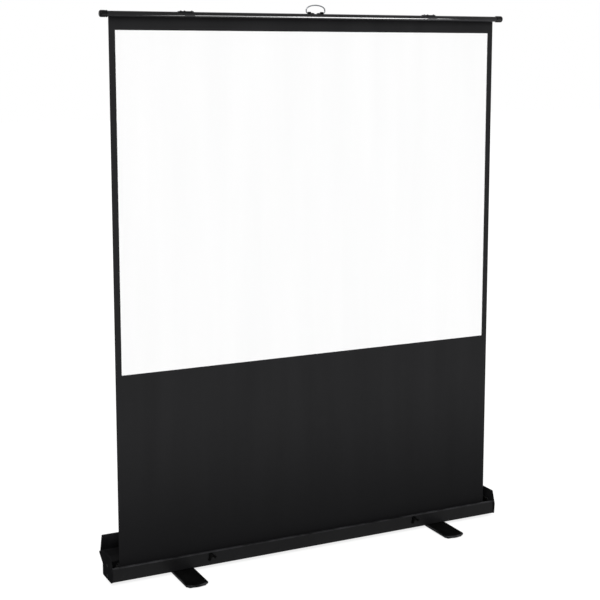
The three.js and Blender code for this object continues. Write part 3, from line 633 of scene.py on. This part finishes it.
def place_instances(tree, given, piece, spin=0.0):
    """Puts the piece on every point, along the point's own axis, makes it real and gives it its finish."""
    named = {"Name": "axis"}
    axis = output(tree, "GeometryNodeInputNamedAttribute", named, data_type="FLOAT_VECTOR")
    turn = output(tree, "FunctionNodeAlignRotationToVector", {"Vector": axis}, axis="Z")
    draw = {2: 0.0, 3: spin, "Seed": 7}
    angle = add(tree, "FunctionNodeRandomValue", draw, data_type="FLOAT").outputs[1]
    about = {"Axis": (0.0, 0.0, 1.0), "Angle": angle}
    roll = output(tree, "FunctionNodeAxisAngleToRotation", about)
    both = output(tree, "FunctionNodeRotateRotation", {0: turn, 1: roll}, rotation_space="LOCAL")
    copies = {"Points": given["Points"], "Instance": piece, "Rotation": both}
    placed = output(tree, "GeometryNodeInstanceOnPoints", copies)
    real = output(tree, "GeometryNodeRealizeInstances", {0: placed})
    coated = output(tree, "GeometryNodeSetMaterial", {0: real, "Material": given["Finish"]})
    add(tree, "NodeGroupOutput", {0: coated})
    return tree


def moved(tree, shape, **change):
    return output(tree, "GeometryNodeTransform", {"Geometry": shape, **change})


def screw_tree():
    """A domed screw head with a cross recess on each point."""
    tree, given = new_tree("screw_heads", "Radius", "Height", "Dome", "Slot Width", "Slot Depth")
    radius, height = given["Radius"], given["Height"]
    size = {"Vertices": 32, "Radius": radius, "Depth": height}
    stem = output(tree, "GeometryNodeMeshCylinder", size)
    half = maths(tree, "MULTIPLY", height, 0.5)
    down = vector(tree, Z=maths(tree, "SUBTRACT", half, given["Dome"]))
    fine = {"Segments": 48, "Rings": 48, "Radius": given["Dome"]}
    ball = output(tree, "GeometryNodeMeshUVSphere", fine)
    head = add(tree, "GeometryNodeMeshBoolean", operation="INTERSECT")
    for part in (stem, moved(tree, ball, Translation=down)):
        tree.links.new(part, head.inputs["Mesh 2"])
    deep = maths(tree, "MULTIPLY", given["Slot Depth"], 2.0)
    wide = given["Slot Width"]
    slots = add(tree, "GeometryNodeJoinGeometry")
    for x, y in ((radius, wide), (wide, radius)):
        bar = output(tree, "GeometryNodeMeshCube", {"Size": vector(tree, X=x, Y=y, Z=deep)})
        tree.links.new(bar, slots.inputs[0])
    up = vector(tree, Z=half)
    cross = moved(tree, slots.outputs[0], Translation=up)
    cut = add(tree, "GeometryNodeMeshBoolean", {"Mesh 1": head.outputs[0]}, operation="DIFFERENCE")
    tree.links.new(cross, cut.inputs["Mesh 2"])
    seated = moved(tree, cut.outputs[0], Translation=up)
    return place_instances(tree, given, seated, spin=math.pi / 2)


def rivet_tree():
    """A low round rivet head on each point."""
    tree, given = new_tree("rivet_heads", "Radius", "Height")
    ball = output(tree, "GeometryNodeMeshUVSphere", {"Segments": 24, "Rings": 12, "Radius": 1.0})
    size = vector(tree, X=given["Radius"], Y=given["Radius"], Z=given["Height"])
    return place_instances(tree, given, moved(tree, ball, Scale=size))


def rib_tree():
    """A straight rib on each point."""
    tree, given = new_tree("pad_ribs", "Length", "Width", "Height")
    size = vector(tree, X=given["Length"], Y=given["Width"], Z=given["Height"])
    return place_instances(tree, given, output(tree, "GeometryNodeMeshCube", {"Size": size}))


def spring_tree():
    """A coil of round wire that starts at each point and runs along the point's axis."""
    tree, given = new_tree("coil_spring", "Turns", "Radius", "Length", "Wire")
    radius = given["Radius"]
    coil = {"Resolution": 24, "Rotations": given["Turns"], "Start Radius": radius, "End Radius": radius}
    line = output(tree, "GeometryNodeCurveSpiral", {**coil, "Height": given["Length"]})
    size = {"Resolution": 10, "Radius": given["Wire"]}
    wire = output(tree, "GeometryNodeCurvePrimitiveCircle", size)
    shape = {"Curve": line, "Profile Curve": wire, "Fill Caps": True}
    return place_instances(tree, given, output(tree, "GeometryNodeCurveToMesh", shape))


def new_object(name, data):
    made = bpy.data.objects.new(name, data)
    bpy.context.collection.objects.link(made)
    return made


def grown(tree, places, finish, **sizes):
    """Runs a tree on (point, axis) places and returns its mesh."""
    mesh = bpy.data.meshes.new("points")
    mesh.from_pydata([point for point, axis in places], [], [])
    axes = mesh.attributes.new("axis", "FLOAT_VECTOR", "POINT")
    for mark, (point, axis) in zip(axes.data, places):
        mark.vector = axis
    holder = new_object("holder", mesh)
    grow = holder.modifiers.new("grow", "NODES")
    grow.node_group = tree
    wanted = {key.replace("_", " ").title(): value for key, value in sizes.items()}
    wanted["Finish"] = finish
    for item in tree.interface.items_tree:
        if item.in_out == "INPUT" and item.name in wanted:
            grow[item.identifier] = wanted[item.name]
    ready = holder.evaluated_get(bpy.context.evaluated_depsgraph_get())
    result = bpy.data.meshes.new_from_object(ready)
    bpy.data.objects.remove(holder)
    return smooth(result)


SCREWS = screw_tree()
RIVETS = rivet_tree()
RIBS = rib_tree()
COIL = spring_tree()


# Pieces

def piece(name, mesh, body, finish, *nodes):
    """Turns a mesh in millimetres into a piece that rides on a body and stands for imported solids."""
    mesh.transform(Matrix.Scale(MM, 4))
    mesh.name = name
    made = new_object(name, mesh)
    if not mesh.materials:
        mesh.materials.append(finish)
    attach(made, body)
    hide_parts(*nodes)
    return made


def grown_piece(name, tree, places, body, finish, nodes=(), **sizes):
    """Makes one piece of what a tree grows on (point, axis) places."""
    piece(name, grown(tree, places, finish, **sizes), body, finish, *nodes)


def domed(radius, start, end, bulge=0.35, crown=0.72, steps=6):
    """Profile points of a head with a domed end and a flat crown."""
    height = end - start
    shoulder = start + height * (1 - bulge)
    points = [(radius, start)]
    for k in range(steps + 1):
        turn = math.radians(90 * k / steps)
        share = crown + (1 - crown) * math.cos(turn)
        points.append((radius * share, shoulder + height * bulge * math.sin(turn)))
    return [*points, (0, end)]


def on_lip(y, z):
    """Whether a point of the case sheet is on its rolled top edges, which hands rub."""
    return z > (FRONT_TOP if y < 0 else BACK_TOP) - LIP_DEPTH


def make_case():
    line = guarded(rounded(CASE_BENDS, closed=False))
    shell = bent_sheet(line, WALL, -SHELL_END, SHELL_END, on_lip)
    piece("case_sheet", shell, "case", CASE_COAT, "case_shell")
    outline = rounded(CAP_CORNERS)
    holes = [circle((0, height), CAP_SCREW_HOLE) for height in CAP_SCREW_HEIGHTS]
    rim = [outline, grown_outline(outline, -CAP_RIM)]
    outer = SHELL_END + CAP_THICKNESS
    bracket = rectangle(*BEARER_SIZE, 6, BEARER_CENTRE)
    bores = [circle((0, ROLLER_HEIGHT), BEARER_BORE)]
    bores += [circle((0, height), SCREW_BORE) for height in CAP_SCREW_HEIGHTS]
    for name, side in SIDES:
        base = plate([outline, *holes], SHELL_END, outer - CAP_FIELD_SINK, 0.6, "yz")
        border = plate(rim, outer - CAP_RIM_DEPTH, outer, 0.7, "yz")
        cap = mirrored(joined(base, border), side)
        piece(f"end_cap_{name}_moulding", cap, "case", MOULDED_ABS, f"end_cap_{name}")
        bearer = plate([bracket, *bores], SHELL_END - BEARER_DEPTH, SHELL_END, 0.6, "yz")
        piece(f"roller_bearer_{name}", mirrored(bearer, side), "case", BLACK_STEEL, f"roller_bracket_{name}")
    seat = outer - CAP_SCREW_SINK
    places = [((side * seat, 0, height), (side, 0, 0))
              for name, side in SIDES for height in CAP_SCREW_HEIGHTS]
    nodes = [f"end_cap_screw_{name}_{i}" for name, side in SIDES for i in (1, 2)]
    grown_piece("cap_screw_heads", SCREWS, places, "case", LACQUERED_STEEL, nodes,
                radius=4.5, height=2.4, dome=9.0, slot_width=1.1, slot_depth=1.2)


def paint_tip_highlight(foot):
    """Marks the rounded end faces of a foot with the pale edge colour, as a painted highlight where light
    catches them.
    """
    for vert, mark in zip(foot.vertices, foot.attributes["edge"].data):
        if abs(vert.co.y) > FOOT_HALF_LENGTH - FOOT_SAGITTA and vert.co.z < FOOT_TOP - TIP_SHADOW:
            mark.value = 1.0


def bolt_profile():
    """The bolt that a foot turns on: a flange in the foot, a stem and a domed head on the case's floor."""
    bottom = FOOT_BOTTOM + GAP
    under_head = CASE_BOTTOM + WALL + GAP
    inset, rise = BOLT_CHAMFER
    edge = [(0, bottom), (BOLT_HEAD - inset, bottom), (BOLT_HEAD, bottom + rise)]
    flange = [(radius, BOLT_FLANGE_TOP) for radius in (BOLT_HEAD, BOLT_STEM)]
    return [*edge, *flange, (BOLT_STEM, under_head), *domed(BOLT_HEAD, under_head, BOLT_TOP)]


def make_feet():
    radius = (FOOT_HALF_WIDTH ** 2 + FOOT_SAGITTA ** 2) / (2 * FOOT_SAGITTA)
    spread = math.degrees(math.asin(FOOT_HALF_WIDTH / radius))
    middle = FOOT_HALF_LENGTH - radius
    for name, side in SIDES:
        x = side * FOOT_X
        outline = [*arc((x, middle), radius, 90 - spread, 90 + spread, 28),
                   *arc((x, -middle), radius, 270 - spread, 270 + spread, 28)]
        foot = plate([outline, circle((x, 0), FOOT_BORE)], FOOT_BOTTOM, FOOT_TOP, 3.0, "xy")
        paint_tip_highlight(foot)
        piece(f"swivel_foot_{name}", foot, f"{name}_foot", FOOT_COAT, f"foot_{name}")
        for end, way in (("front", -1), ("back", 1)):
            y = way * PAD_Y
            base = plate([rectangle(*PAD_SIZE, 8, (x, y))], PAD_BOTTOM, FOOT_BOTTOM, 0.7, "xy")
            places = [((x, y + RIB_PITCH * i, RIB_HEIGHT / 2), (0, 0, 1)) for i in range(-3, 4)]
            ribs = grown(RIBS, places, PAD_RUBBER, length=52.0, width=2.6, height=RIB_HEIGHT)
            piece(f"foot_pad_{name}_{end}_ribbed", joined(base, ribs), f"{name}_foot", PAD_RUBBER,
                  f"foot_pad_{name}_{end}")
        bolt = turned(bolt_profile(), "z", (x, 0, 0))
        piece(f"foot_swivel_bolt_{name}", bolt, "case", ZINC_STEEL, f"foot_bolt_{name}")


def catch_outline():
    """A round hub with two short legs, seen from the front."""
    hub, half, reach, tip = 8.0, 4.0, 21.0, 2.0
    legs, root = (-112, -30), 30
    leg = rounded([(0, -half, 0), (reach, -half, tip), (reach, half, tip), (0, half, 0)], closed=False)
    points = []
    for number, angle in enumerate(legs):
        turn = Matrix.Rotation(math.radians(angle), 2)
        points += [tuple(turn @ Vector(p)) for p in leg if p[0] > 0]
        following = legs[(number + 1) % len(legs)] + (360 if number else 0)
        points += arc((0, 0), hub, angle + root, following - root, 40 if number else 4)
    return points


def make_catches():
    for name, side in SIDES:
        x = side * CATCH_X
        outline = [(x + u, CATCH_HEIGHT + v) for u, v in catch_outline()]
        bore = circle((x, CATCH_HEIGHT), SCREW_BORE, 24)
        body = plate([outline, bore], -CATCH_BACK, -CATCH_FRONT, 0.8, "xz")
        piece(f"catch_moulding_{name}", body, f"{name}_catch", MOULDED_NYLON, f"turn_catch_{name}")
    seat = CATCH_FRONT - GAP
    places = [((side * CATCH_X, seat, CATCH_HEIGHT), (0, -1, 0)) for name, side in SIDES]
    nodes = [f"catch_screw_{name}" for name, side in SIDES]
    grown_piece("catch_screw_heads", SCREWS, places, "case", LACQUERED_STEEL, nodes,
                radius=4.0, height=2.2, dome=7.5, slot_width=1.0, slot_depth=1.1)


def sleeve(radius, bore, start, end):
    """The profile of a tube."""
    return [(bore, start), (radius, start), (radius, end), (bore, end)]


def plug_profile(bore):
    """The right plug of the roller: a body in the tube, a flange against it and a shaft in the bearer."""
    body = ROLLER_BORE - GAP
    start, seat, tip = ROLLER_END - PLUG_DEPTH, ROLLER_END + GAP, SHELL_END - GAP
    flange = seat + PLUG_FLANGE
    edge = [(ROLLER_RADIUS, flange - TURNED_EDGE), (ROLLER_RADIUS - TURNED_EDGE, flange)]
    shaft = [(PLUG_SHAFT, flange), (PLUG_SHAFT, tip - FINE_EDGE), (PLUG_SHAFT - FINE_EDGE, tip)]
    return [(bore, start), (body, start), (body, seat), (ROLLER_RADIUS, seat), *edge, *shaft, (bore, tip)]


def make_roller():
    centre = (0, 0, ROLLER_HEIGHT)
    tube = turned(sleeve(ROLLER_RADIUS, ROLLER_BORE, -ROLLER_END, ROLLER_END), "x", centre)
    piece("roller_core_tube", tube, "roller", CASE_COAT, "roller_tube")
    for name, side in SIDES:
        profile = plug_profile(MANDREL_RADIUS + GAP if side < 0 else 0)
        plug = mirrored(turned(profile, "x", centre), side)
        piece(f"roller_end_plug_{name}", plug, "roller", MOULDED_ABS, f"roller_plug_{name}")
    start = -SHELL_END + GAP
    end = start + MANDREL_LENGTH
    line = [(0, start), (MANDREL_RADIUS, start), (MANDREL_RADIUS, end - 1),
            (MANDREL_RADIUS - TURNED_EDGE, end), (0, end)]
    mandrel = turned(line, "x", centre, 24)
    piece("spring_mandrel_rod", mandrel, "case", ZINC_STEEL, "spring_mandrel")
    places = [((start + SPRING_START, 0, ROLLER_HEIGHT), (1, 0, 0))]
    grown_piece("roller_coil_spring", COIL, places, "case", BLACK_STEEL, ["roller_spring"],
                turns=20.0, radius=4.2, length=420.0, wire=0.85)


def wound_cloth():
    """The turns of cloth that stay on the roller, as one spiral strip."""
    turns, steps = 6, 56
    inner, outer = ROLLER_RADIUS + GAP, WRAP_RADIUS - CLOTH_THICKNESS
    line = []
    for i in range(turns * steps + 1):
        share = i / (turns * steps)
        radius = inner + (outer - inner) * share
        angle = math.pi - math.tau * turns * (1 - share)
        line.append((radius * math.cos(angle), ROLLER_HEIGHT + radius * math.sin(angle)))
    mesh = bent_sheet(line[::-1], CLOTH_THICKNESS, -CLOTH_END, CLOTH_END)
    weave = mesh.uv_layers.new(name="weave")
    for loop in mesh.loops:
        x, y, z = mesh.vertices[loop.vertex_index].co
        weave.data[loop.index].uv = (x * MM, math.atan2(z - ROLLER_HEIGHT, y) * WRAP_RADIUS * MM)
    made = piece("wound_cloth", mesh, "roller", BLACK_CLOTH, "fabric_wrap")


def spaced(stops, step):
    """The stops, with even steps between them."""
    places = [stops[0]]
    for low, high in zip(stops, stops[1:]):
        count = max(1, round((high - low) / step))
        places += [low + (high - low) * (i + 1) / count for i in range(count)]
    return places


def cloth_wave(x, z):
    """How far the cloth stands off its plane: slightly slack, except where it is held."""
    slack = 0.5
    height = (z - CLOTH_BOTTOM) / (CLOTH_TOP - CLOTH_BOTTOM)
    fade = math.sin(math.pi * min(max(height, 0), 1)) ** 2
    return slack * fade * (math.sin(x / 150) * 0.6 + math.sin(x / 310 + z / 700))


def in_view(x, z, slip=1e-6):
    """Whether a point of the cloth is on the white viewing coat."""
    return abs(x) <= VIEW_END + slip and VIEW_BOTTOM - slip <= z <= VIEW_TOP + slip


def cloth_panel(stops):
    """A length of the raised cloth: black, with the viewing coat a little proud on its front."""
    coat_end = VIEW_END + VIEW_COATING
    columns = spaced([-CLOTH_END, -coat_end, -VIEW_END, VIEW_END, coat_end, CLOTH_END], CLOTH_GRID)
    bm = bmesh.new()
    weave = bm.loops.layers.uv.new("weave")
    rings = []
    coated = set()
    for z in spaced(stops, CLOTH_GRID):
        back = [bm.verts.new((x, CLOTH_BACK + cloth_wave(x, z), z)) for x in columns]
        front = []
        for x in columns:
            coat = VIEW_COATING if in_view(x, z) else 0
            front.append(bm.verts.new((x, CLOTH_FRONT + cloth_wave(x, z) - coat, z)))
            if coat:
                coated.add(front[-1])
        rings.append(front + back[::-1])
    bands(bm, rings)
    flat_end(bm, rings[0])
    flat_end(bm, rings[-1])
    for face in bm.faces:
        face.material_index = int(coated.issuperset(face.verts))
        for loop in face.loops:
            loop[weave].uv = (loop.vert.co.x * MM, loop.vert.co.z * MM)
    mesh = from_bmesh(bm)
    mesh.materials.append(BLACK_CLOTH)
    mesh.materials.append(WHITE_COAT)
    return mesh


def make_cloth():
    """The raised cloth: its top border moves with the bar, and the rest rides on the case."""
    edge = VIEW_COATING
    seam = VIEW_TOP + edge
    strip = cloth_panel([seam, CLOTH_TOP])
    border = piece("cloth_top_border", strip, "top_bar", BLACK_CLOTH)
    panel = cloth_panel([CLOTH_BOTTOM, VIEW_BOTTOM - edge, VIEW_BOTTOM, VIEW_TOP, seam])
    made = piece("screen_cloth", panel, "case", BLACK_CLOTH, "screen_fabric", "viewing_surface")
    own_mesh(made)


def strap_line():
    """The strap, seen from the end: over the front and the top of the bar, and down as an ear."""
    inner = BAR_RADIUS + GAP
    hook = arc((BAR_Y, BAR_HEIGHT), inner, 215, 90, 24)
    top = BAR_HEIGHT + inner
    front = PLATE_BACK - STRAP_THICKNESS
    ear = rounded([(BAR_Y, top, 0), (front, top, 3), (front, BAR_HEIGHT - EAR_DROP, 0)], closed=False)
    return hook + ear[1:]


def bar_cap_profile():
    """The right cap of the bar: a plug in the tube, a rim with a groove, and a rounded nose."""
    end = BAR_END + BAR_CAP_LENGTH
    curve = arc((BAR_CAP_RADIUS - BAR_CAP_NOSE, end - BAR_CAP_NOSE), BAR_CAP_NOSE, 0, 90, 10)
    inner = BAR_END - BAR_PLUG_DEPTH
    plug = [(0, inner), (BAR_PLUG_RADIUS, inner), (BAR_PLUG_RADIUS, BAR_END)]
    rim = [(BAR_CAP_RADIUS - FINE_EDGE, BAR_END), (BAR_CAP_RADIUS, BAR_END + FINE_EDGE)]
    groove = [(BAR_CAP_RADIUS - sink, BAR_END + place) for sink, place in CAP_GROOVE]
    return [*plug, *rim, *groove, *curve, (0, end)]


def make_top_bar():
    centre = (0, BAR_Y, BAR_HEIGHT)
    tube = turned(sleeve(BAR_RADIUS, BAR_RADIUS - BAR_WALL, -BAR_END, BAR_END), "x", centre, 96)
    piece("top_bar_enamelled", tube, "top_bar", BAR_ENAMEL, "top_bar_tube")
    strap_top = BAR_HEIGHT + BAR_RADIUS + GAP + STRAP_THICKNESS
    wing_middle = (WING_LEFT + WING_RIGHT) / 2
    places = []
    for name, side in SIDES:
        cap = mirrored(turned(bar_cap_profile(), "x", centre), side)
        piece(f"bar_end_cap_{name}", cap, "top_bar", POLISHED_NYLON, f"bar_cap_{name}")
        x = side * PIVOT_X
        strap = bent_sheet(strap_line(), -STRAP_THICKNESS, x - STRAP_HALF_WIDTH, x + STRAP_HALF_WIDTH)
        wing = rectangle(WING_RIGHT - WING_LEFT, WING_DEPTH, 3, (x + wing_middle, BAR_Y))
        flange = plate([wing], strap_top - STRAP_THICKNESS, strap_top - WING_SINK, 0.4, "xy")
        piece(f"arm_bracket_{name}", joined(strap, flange), "top_bar", CASE_COAT, f"top_bracket_{name}")
        places += [((x + offset, BAR_Y, strap_top + GAP), (0, 0, 1)) for offset in STRAP_SCREWS]
    nodes = [f"bracket_screw_{name}_{i}" for name, side in SIDES for i in (1, 2, 3)]
    grown_piece("bracket_screw_heads", SCREWS, places, "top_bar", BLACK_STEEL, nodes,
                radius=3.2, height=1.8, dome=5.5, slot_width=0.9, slot_depth=0.9)


def make_clamp_strip():
    """The strip that grips the cloth to the bar, with the row of rivets that hold it."""
    strip = plate([rectangle(*STRIP_SIZE, 2, (0, BAR_HEIGHT))], -STRIP_BACK, -STRIP_FRONT, 0.5, "xz")
    places = [((STRIP_RIVET_PITCH * i, STRIP_BACK, BAR_HEIGHT), (0, 1, 0)) for i in range(-6, 7)]
    piece("clamp_strip", strip, "top_bar", MILL_ALUMINIUM, "fabric_clamp_strip")
    grown_piece("clamp_rivets", RIVETS, places, "top_bar", ZINC_STEEL, radius=3.4, height=1.4)


def lug_outlines():
    """The saddle over the end of the bail and the tab beside it, seen from the end of the bar."""
    seat = BAR_RADIUS + GAP
    room = BAIL_WIRE + GAP
    outer, inner = (math.degrees(math.asin(width / seat)) for width in (LUG_RADIUS, room))
    saddle = [*arc((BAR_Y, BAIL_AXIS), LUG_RADIUS, 0, 180, 24),
              *arc((BAR_Y, BAR_HEIGHT), seat, 90 + outer, 90 + inner, 1),
              *arc((BAR_Y, BAIL_AXIS), room, 180, 0, 24),
              *arc((BAR_Y, BAR_HEIGHT), seat, 90 - inner, 90 - outer, 1)]
    top = BAR_HEIGHT + BAR_RADIUS + LUG_TAB_HEIGHT
    sole = [(y, z, 0) for y, z in arc((BAR_Y, BAR_HEIGHT), seat, 90 + outer, 90 - outer, 6)]
    tab = rounded([(BAR_Y + LUG_RADIUS, top, 0.8), (BAR_Y - LUG_RADIUS, top, 0.8), *sole])
    return saddle, tab


def bail_line():
    """The bent wire, seen from the front, with its two ends turned in towards each other."""
    half = [(LUG_INNER + GAP, 0.0)]
    half += arc((BAIL_REACH - BAIL_BEND, BAIL_BEND), BAIL_BEND, -90, 0, 12)
    turns = [math.pi * i / 64 for i in range(65)]
    top = [(BAIL_REACH * math.cos(t), BAIL_SHOULDER + BAIL_RISE * math.sin(t)) for t in turns]
    return half + top + [(-u, v) for u, v in reversed(half)]


def make_bail():
    wire = swept([(u, BAR_Y, BAIL_AXIS + v) for u, v in bail_line()], BAIL_WIRE)
    piece("bail_wire", wire, "bail", BRIGHT_WIRE, "handle_bail")
    saddle_line, tab_line = lug_outlines()
    tab_x, tab_top = LUG_INNER - LUG_TAB / 2, BAR_HEIGHT + BAR_RADIUS + LUG_TAB_HEIGHT
    for name, side in SIDES:
        saddle = plate([saddle_line], LUG_INNER, LUG_OUTER, 0.3, "yz")
        tab = plate([tab_line], LUG_INNER - LUG_TAB, LUG_INNER + GAP / 2, 0.4, "yz")
        lug = mirrored(joined(saddle, tab), side)
        piece(f"bail_lug_{name}", lug, "top_bar", MOULDED_NYLON, f"handle_mount_{name}")
    places = [((side * tab_x, BAR_Y, tab_top), (0, 0, 1)) for name, side in SIDES]
    grown_piece("lug_rivets", RIVETS, places, "top_bar", BLACK_STEEL, radius=2.8, height=1.2)


def pin(start, end, x, height, riveted):
    """A pivot pin along Y with a domed head at its front, and if riveted one at its back."""
    front = [(r, start - (d - start)) for r, d in reversed(domed(PIN_HEAD, start, start + PIN_HEAD_HEIGHT))]
    if riveted:
        back = [(PIN_RADIUS, end), *domed(PIN_HEAD, end, end + PIN_HEAD_HEIGHT)]
    else:
        back = [(PIN_RADIUS, end - TURNED_EDGE), (PIN_RADIUS - TURNED_EDGE, end), (0, end)]
    return turned([*front, (PIN_RADIUS, start), *back], "y", (x, 0, height), 40)


def arm(start, end, layer):
    """A flat arm with round ends between two (x, z) pivots, within a layer of depths."""
    run = end - start
    way = run.normalized()
    axes = (Vector((way.x, 0, way.y)), Vector((-way.y, 0, way.x)))
    outline = [*arc((0, 0), ARM_HALF, 90, 270, 20), *arc((run.length, 0), ARM_HALF, -90, 90, 20)]
    bores = [circle((0, 0), PIN_BORE, 32), circle((run.length, 0), PIN_BORE, 32)]
    return plate([outline, *bores], -layer[1], -layer[0], 0.9, axes, (start.x, 0, start.y))


def make_arms():
    for name, side in SIDES:
        base = Vector((side * PIVOT_X, BASE_PIVOT))
        elbow = Vector((-side * ELBOW_X, ELBOW_HEIGHT))
        top = Vector((side * PIVOT_X, BAR_HEIGHT))
        layers = (FRONT_LAYER, BACK_LAYER)[::-side]
        halves = (("lower", base, elbow, layers[0]), ("upper", elbow, top, layers[1]))
        for part, start, end, layer in halves:
            piece(f"lift_arm_{part}_{name}", arm(start, end, layer), f"arm_{part}_{name}",
                  GRAPHITE_ANODISED, f"{part}_arm_{name}")
        joint = pin(PIN_FRONT, LONG_PIN_END, elbow.x, ELBOW_HEIGHT, True)
        piece(f"elbow_rivet_{name}", joint, f"arm_lower_{name}", ZINC_STEEL, f"elbow_pin_{name}")


def cheek_outline(x):
    """The bracket under an arm's base pivot, seen from the front."""
    left, right = x - CHEEK_HALF_WIDTH, x + CHEEK_HALF_WIDTH
    foot = [(left, CHEEK_BOTTOM), (right, CHEEK_BOTTOM), (right, CHEEK_SHOULDER)]
    return [*foot, *arc((x, BASE_PIVOT), CHEEK_RADIUS, 0, 180, 28), (left, CHEEK_SHOULDER)]


def make_pivots():
    """The pins at the ends of the arms. An arm in the back layer has a long pin and a bush."""
    bush_line = sleeve(BUSH_RADIUS, PIN_BORE, PLATE_BACK + GAP, BACK_LAYER[0] - GAP)
    ends = (("base", BASE_PIVOT, "case", CHEEK_THICKNESS), ("top", BAR_HEIGHT, "top_bar", STRAP_THICKNESS))
    for name, side in SIDES:
        x = side * PIVOT_X
        for end, height, body, thickness in ends:
            behind = (side > 0) == (end == "base")
            start, stop = PLATE_BACK - thickness - GAP, LONG_PIN_END if behind else SHORT_PIN_END
            joint = pin(start, stop, x, height, behind)
            piece(f"{end}_pivot_pin_{name}", joint, body, ZINC_STEEL, f"{end}_pin_{name}")
            if behind:
                bush = turned(bush_line, "y", (x, 0, height), 40)
                piece(f"{end}_spacer_{name}_bush", bush, body, MOULDED_ABS, f"{end}_spacer_{name}")
        outlines = [cheek_outline(x), circle((x, BASE_PIVOT), PIN_BORE, 32)]
        cheek = plate(outlines, -PLATE_BACK, CHEEK_THICKNESS - PLATE_BACK, 0.5, "xz")
        piece(f"arm_cheek_{name}", cheek, "case", CASE_COAT, f"base_bracket_{name}")
        spots = (x - CHEEK_RIVET_X, x + CHEEK_RIVET_X)
        places = [((spot, CASE_BACK, CHEEK_RIVET_HEIGHT), (0, 1, 0)) for spot in spots]
        grown_piece(f"cheek_rivets_{name}", RIVETS, places, "case", BLACK_STEEL, radius=4.0, height=1.6)


make_case()
make_feet()
make_catches()
make_roller()
wound_cloth()
make_clamp_strip()
make_cloth()
make_top_bar()
make_bail()
make_arms()
make_pivots()


# Studio

def seen_plainly(tree):
    """One for what the camera sees, straight or reflected, and nought for light that falls on things."""
    path = add(tree, "ShaderNodeLightPath").outputs
    seen = path["Is Camera Ray"]
    for ray in ("Is Glossy Ray", "Is Transmission Ray"):
        seen = maths(tree, "MAXIMUM", seen, path[ray])
    return seen


def studio_world():
    """White to the eye and in reflections, and a plain soft level of light on the object."""
    world = bpy.data.worlds.new("studio")
    bpy.context.scene.world = world
    tree = empty_tree(world)
    level = ranged(tree, seen_plainly(tree), 0.0, 1.0, 0.45, 1.0)
    white = {"Color": (1.0, 1.0, 1.0, 1.0), "Strength": level}
    sky = output(tree, "ShaderNodeBackground", white)
    add(tree, "ShaderNodeOutputWorld", {"Surface": sky})


def studio_floor():
    """A pale floor that looks white and keeps a soft shadow."""
    half = 30.0
    mesh = bpy.data.meshes.new("floor")
    corners = [(-half, -half, 0), (half, -half, 0), (half, half, 0), (-half, half, 0)]
    mesh.from_pydata(corners, [], [(0, 1, 2, 3)])
    floor = new_object("floor", mesh)
    material = bpy.data.materials.new("pale_floor")
    tree = empty_tree(material)
    paint = output(tree, "ShaderNodeBsdfDiffuse", {"Color": linear("#cbcbcb")})
    shade = output(tree, "ShaderNodeBsdfDiffuse", {"Color": linear("#959595")})
    glow = output(tree, "ShaderNodeEmission", {"Strength": 0.8})
    both = output(tree, "ShaderNodeAddShader", {0: shade, 1: glow})
    surface = output(tree, "ShaderNodeMixShader", {0: seen_plainly(tree), 1: paint, 2: both})
    add(tree, "ShaderNodeOutputMaterial", {"Surface": surface})
    mesh.materials.append(material)


def add_lamp(name, kind, **settings):
    """Adds a light and sets its properties."""
    data = bpy.data.lights.new(name, kind)
    for key, value in settings.items():
        setattr(data, key, value)
    return new_object(name, data)


def broad_key(name, azimuth, elevation, spread, level):
    """A wide soft light, even over the whole floor. White that faces it renders at its level."""
    lamp = add_lamp(name, "SUN", angle=math.radians(spread), energy=level * math.pi)
    lamp.rotation_euler = (math.radians(90 - elevation), 0, math.radians(azimuth))


def bar_panel(name, x, y, width, power, takers):
    """An upright panel that lights the named pieces only, for the long bright line along the bar."""
    height, middle = 1.35, 0.72
    lamp = add_lamp(name, "AREA", shape="RECTANGLE", size=width, size_y=height, energy=power)
    lamp.location = (x, y, middle)
    lamp.rotation_mode = "QUATERNION"
    lamp.rotation_quaternion = Vector((0, 1, 0)).to_track_quat("-Z", "Y")
    lamp.visible_camera = False
    lit = bpy.data.collections.new(name)
    for taker in takers:
        lit.objects.link(bpy.data.objects[taker])
    lamp.light_linking.receiver_collection = lit


BAR = ("top_bar_enamelled", "bar_end_cap_left", "bar_end_cap_right")
CLIPS = ("arm_bracket_left", "arm_bracket_right")
studio_world()
studio_floor()
broad_key("key", azimuth=-30, elevation=40, spread=45, level=0.74)
broad_key("back", azimuth=160, elevation=35, spread=60, level=0.25)
bar_panel("bar_line", x=1.18, y=-1.6, width=0.9, power=200, takers=BAR + CLIPS)
bar_panel("bar_glow", x=0.92, y=-1.62, width=1.4, power=155, takers=BAR)


# Camera

PICTURE_PIXELS = 600
FOCAL_PIXELS = 1300.0
SENSOR_WIDTH = 36.0
CAMERA_YAW = 26.216
CAMERA_TILT = 8.078
camera = new_object("camera", bpy.data.cameras.new("camera"))
camera.location = (-2.0335, -4.0406, 1.7617)
camera.rotation_euler = (math.radians(90 - CAMERA_TILT), 0, math.radians(-CAMERA_YAW))
camera.data.sensor_width = SENSOR_WIDTH
camera.data.lens = FOCAL_PIXELS / PICTURE_PIXELS * SENSOR_WIDTH
camera.data.shift_y = -0.10
scene = bpy.context.scene
scene.camera = camera
scene.view_settings.view_transform = "Standard"
